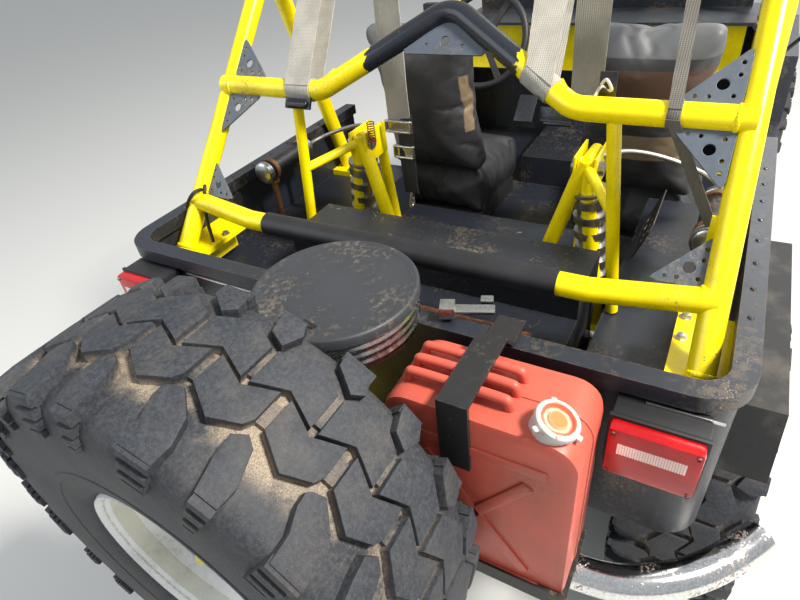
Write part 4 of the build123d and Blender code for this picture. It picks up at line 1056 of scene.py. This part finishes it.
def make_reservoirs(skins):
    """Remote reservoirs: bare body, ribbed end caps, clamps on posts and a brass hose fitting."""
    for word, side in SIDES:
        y, height = side * 632, 5
        axis = facing_back(466, y, height)
        caps = Draft()
        for ends in ((0, 24), (206, 230)):
            line = [(0.1, ends[0]), (28, ends[0]), (31, ends[0] + 2)]
            for rib in range(3):
                level = ends[0] + 4 + rib * 6
                line += [(34, level), (34, level + 3), (31, level + 3.6), (31, level + 5.4)]
            line += [(33, ends[1] - 2), (30, ends[1]), (0.1, ends[1])]
            caps.turned(line, axis, 40)
        piece = caps.piece("reservoir_caps_" + word, skins["alloy"], "alloy")
        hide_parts("reservoirs")
        body = Draft()
        body.turned([(0.1, 22), (30, 22), (30, 208), (0.1, 208)], axis, 40)
        body.piece("reservoir_body_" + word, skins["dark_steel"] if side > 0 else skins["black"], "alloy")
        mounts = Draft()
        for station in (506, 656):
            clamp = facing_back(station, y, height)
            mounts.turned([(30.4, -8), (36, -8), (36, 8), (30.4, 8)], clamp, 40)
            mounts.rod(place(station, y, -215), place(station, y, -28), 10, 16)
            mounts.block((26, 30, 12), level_at(station, y, -36), 2)
        mounts.piece("reservoir_mounts_" + word, skins["rusty"], "bare_steel")
        fitting = Draft()
        fitting.rod(place(696, y, height), place(708, y, height), 9, 6)
        fitting.rod(place(706, y, height), place(722, y, height), 11, 6)
        fitting.piece("reservoir_fitting_" + word, skins["brass"], "alloy")


def make_wheel_clamp(skins):
    """Crossed clamp tubes of the spare wheel's carrier, their rims slightly rounded."""
    bars = Draft()
    turn = math.radians(31.8)
    for offset in (0.0, math.pi / 2):
        direction = Vector((0, math.cos(turn + offset), math.sin(turn + offset)))
        middle = place(-455, 56, -237)
        bars.rod(middle - direction * 0.150, middle + direction * 0.150, 19, 24, 2)
    bars.piece("clamp_tubes", skins["yellow"], "cage_yellow")


def make_towers(skins):
    """Shock towers: splayed tube legs with a cross plate and tabs, a post to the harness bar and its brace."""
    for word, side in SIDES:
        legs = Draft()
        # start, end, radius
        table = [
            ((600, 332, 107), (584, 405, -376), 21),
            ((600, 332, 107), (569, 186, -376), 21),
            ((700, 332, 90), (720, 300, -376), 17),
            ((596, 332, 100), (706, 332, 92), 17),
            ((445, 462, -213), (445, 410, 268), 15),
            ((445, 430, 60), (590, 340, 88), 13),
        ]
        for start, end, radius in table:
            legs.rod(*(place(station, side * y, height) for station, y, height in (start, end)), radius, 28, 2)
        for shift in (-25, 25):
            legs.block((120, 7, 92), frame_at(place(640, side * (332 + shift), 74), (1, 0, 0), (0, 1, 0)), 2)
        for foot in ((584, 405), (569, 186), (720, 300)):
            legs.block((84, 84, 8), level_at(foot[0], side * foot[1], -372), 2)
        piece = legs.piece("tower_" + word, skins["yellow"], "cage_yellow")
        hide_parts("shock_towers")


def make_bumper(skins):
    """Chromed tube bumper with swept ends and its two brackets."""
    line = [(150, 866), (40, 800), (-70, 660), (-95, 520), (-95, 0), (-95, -520), (-70, -660), (40, -800), (150, -866)]
    spots = [place(station, y, -500) for station, y in line]
    piece = bent_tube("bumper_tube", spots, 38, skins["chrome"])
    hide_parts("rear_bumper")
    brackets = Draft()
    for side in (1, -1):
        brackets.block((120, 50, 60), level_at(-45, side * 305, -485), 3)
    brackets.piece("bumper_brackets", skins["black"], "frame_black")


VOXEL = 0.012
CUSHION_PRESSURE = 4.0
CUSHION_STIFFNESS = 60
CLOTH_FRAMES = 12


def cushion(name, corners, y, half, skin):
    """A padded cushion: its side view drawn round, then blown up slightly as cloth and smoothed."""
    part = bmesh.new()
    flat = [part.verts.new(place(station, y - half, height)) for station, height in corners]
    grown = bmesh.ops.extrude_face_region(part, geom=[part.faces.new(flat)])["geom"]
    moved = [item for item in grown if isinstance(item, bmesh.types.BMVert)]
    bmesh.ops.translate(part, verts=moved, vec=(0, 2 * half / 1000, 0))
    bmesh.ops.recalc_face_normals(part, faces=part.faces)
    bmesh.ops.bevel(part, geom=part.edges[:], offset=0.022, segments=4, affect="EDGES", profile=0.5)
    data = bpy.data.meshes.new(name)
    part.to_mesh(data)
    part.free()
    made = add(name, data, skin)
    remesh = made.modifiers.new("remesh", "REMESH")
    remesh.mode = "VOXEL"
    remesh.voxel_size = VOXEL
    cloth = made.modifiers.new("swell", "CLOTH")
    cloth.settings.use_pressure = True
    cloth.settings.uniform_pressure_force = CUSHION_PRESSURE
    cloth.settings.effector_weights.gravity = 0
    cloth.settings.tension_stiffness = CUSHION_STIFFNESS
    cloth.settings.compression_stiffness = CUSHION_STIFFNESS
    scene = bpy.context.scene
    for step in range(1, CLOTH_FRAMES + 1):
        scene.frame_set(step)
    bpy.context.view_layer.update()
    evaluated = made.evaluated_get(bpy.context.evaluated_depsgraph_get())
    rested = bpy.data.meshes.new_from_object(evaluated)
    made.modifiers.clear()
    made.data = rested
    rested.name = name
    rested.shade_smooth()
    smooth = made.modifiers.new("smooth", "SUBSURF")
    smooth.levels = smooth.render_levels = 1
    return made


def make_seats(skins):
    """Two bucket seats: base cushion, reclined back cushion and pedestal."""
    base = [(1150, -420), (1548, -420), (1572, -262), (1540, -236), (1260, -262), (1150, -262)]
    back = [(1150, -246), (1248, -232), (1128, 300), (1092, 322), (1042, 324), (1026, 296)]
    for word, side in SIDES:
        y = side * 370
        piece = cushion("seat_base_" + word, base, y, 200, skins["vinyl"])
        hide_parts("seats")
        cushion("seat_back_" + word, back, y, 196, skins["seat_back"])
        trim = Draft()
        trim.block((380, 380, 66), level_at(1345, y, -454), 8)
        trim.piece("seat_pedestal_" + word, skins["plastic"], "seat_vinyl")


def make_trim(skins):
    """Light strip under the tub's rear lip, rivets on the box and the rails, and tabs on the cage."""
    strip = Draft()
    for y, width in ((-655, 120), (375, 260)):
        strip.block((4, width, 5), level_at(-3, y, -40), 1)
    strip.piece("rear_light_strip", skins["zinc"], "bare_steel")
    rivets = Draft()
    for station, height in ((312, -75), (478, -75), (206, -150)):
        for row in range(7):
            spot = place(station, -360 + row * 120, height)
            rivets.turned([(0.1, 2.4), (3, 2), (4.6, 0.4), (4.6, -1)], frame_at(spot, (1, 0, 0), (0, 1, 0)), 14)
    for side in (1, -1):
        for station in range(240, 1000, 95):
            spot = place(station, side * 727, 0.3)
            rivets.turned([(0.1, 2.8), (4, 2.4), (6, 0.4), (6, -1)], frame_at(spot, (1, 0, 0), (0, 1, 0)), 14)
    rivets.piece("box_rivets", skins["dark_steel"], "bare_steel")
    tabs = Draft()
    tabs.block((5, 22, 58), level_at(330, -636, 118), 1.5)
    tabs.block((70, 12, 5), frame_at(place(450, -610, 250), (0.66, 0, 0.75), (0, 1, 0)), 1.5)
    for side in (1, -1):
        tabs.block((60, 26, 6), frame_at(place(452, side * 300, 316), (0.6, -side * 0.6, 0.5), (0, 1, 0)), 2)
    tabs.piece("cage_tabs", skins["yellow"], "cage_yellow")


def make_hoses(skins):
    """Braided hoses from the reservoirs' fittings to the tops of the coil-overs."""
    for word, side in SIDES:
        line = [(722, 632, 5), (770, 630, 6), (800, 560, 30), (770, 450, 70), (700, 380, 96), (650, 350, 96)]
        spots = [place(station, side * y, height) for station, y, height in line]
        hose = bent_tube("reservoir_hose_" + word, spots, 6.5, skins["braid"])


def make_small_parts(skins):
    """Knotted tie, cable loop, small spring and dark tab on the cage."""
    tie = [
        (470, -372, 330), (462, -380, 346), (456, -390, 338), (462, -396, 322),
        (472, -388, 318), (470, -374, 330), (458, -366, 318), (448, -362, 300),
    ]
    knot = bent_tube("white_tie", [place(*spot) for spot in tie], 3.2, skins["thread"])
    loop = [
        (236, 650, 60), (205, 640, 72), (192, 668, 40), (205, 700, 2), (238, 702, 10),
        (262, 680, 48), (250, 640, 75), (214, 632, 30), (196, 622, -30), (190, 616, -80),
    ]
    cable = bent_tube("cable_loop", [place(*spot) for spot in loop], 5, skins["rubber"])
    spring = Draft()
    for turn in range(9):
        level = 150 - turn * 7
        matrix = level_at(600, 290, level)
        spring.turned([(9, 0), (11, 1.6), (12.5, 0), (11, -1.6), (9, 0)], matrix, 24)
    spring.piece("small_spring", skins["dark_red"], "can_red")
    tab = Draft()
    tab.block((4, 34, 52), level_at(470, -385, 330), 1.5)
    tab.piece("dark_tab", skins["dark_steel"], "bare_steel")


# What each CAD node is made of
FINISH = {
    "tub": "tub hood front_fenders grille windscreen_frame",
    "box": "cover_box",
    "yellow": "roll_cage shock_towers tyre_carrier dash",
    "black": "frame front_springs can_holder steering_gear front_bumper",
    "red": "jerry_can",
    "white": "rim_rear_left rim_rear_right rim_front_left rim_front_right spare_rim",
    "tyre": "tyre_rear_left tyre_rear_right tyre_front_left tyre_front_right spare_tyre",
    "rubber": "rear_flares",
    "plastic": "steering_wheel cage_sleeve mirrors",
    "lens": "tail_lamps",
    "chrome": "rear_bumper",
    "steel": "coilovers driveshafts steering_rods exhaust",
    "cast": "engine gearbox rear_axle front_axle knuckle_left knuckle_right pitman_arm",
    "alloy": "reservoirs",
    "glass": "windscreen_glass",
    "lamp_glass": "headlamps",
    "vinyl": "seats",
    "webbing": "harness",
    "galvanised": "drum",
}


def dress_nodes(materials):
    """Gives every CAD node its material."""
    for key, names in FINISH.items():
        for name in names.split():
            nodes[name].data.materials.clear()
            nodes[name].data.materials.append(materials[key].material)


def main():
    make_camera()
    make_floor()
    make_lights()
    skins = make_materials()
    dress_nodes(skins)
    for make in (make_tyres, make_straps, make_buckles, make_gussets, make_welds, make_can, make_canister, make_lamps,
                 make_reservoirs, make_wheel_clamp, make_towers, make_bumper, make_seats,
                 make_trim, make_hoses, make_small_parts):
        make(skins)


main()
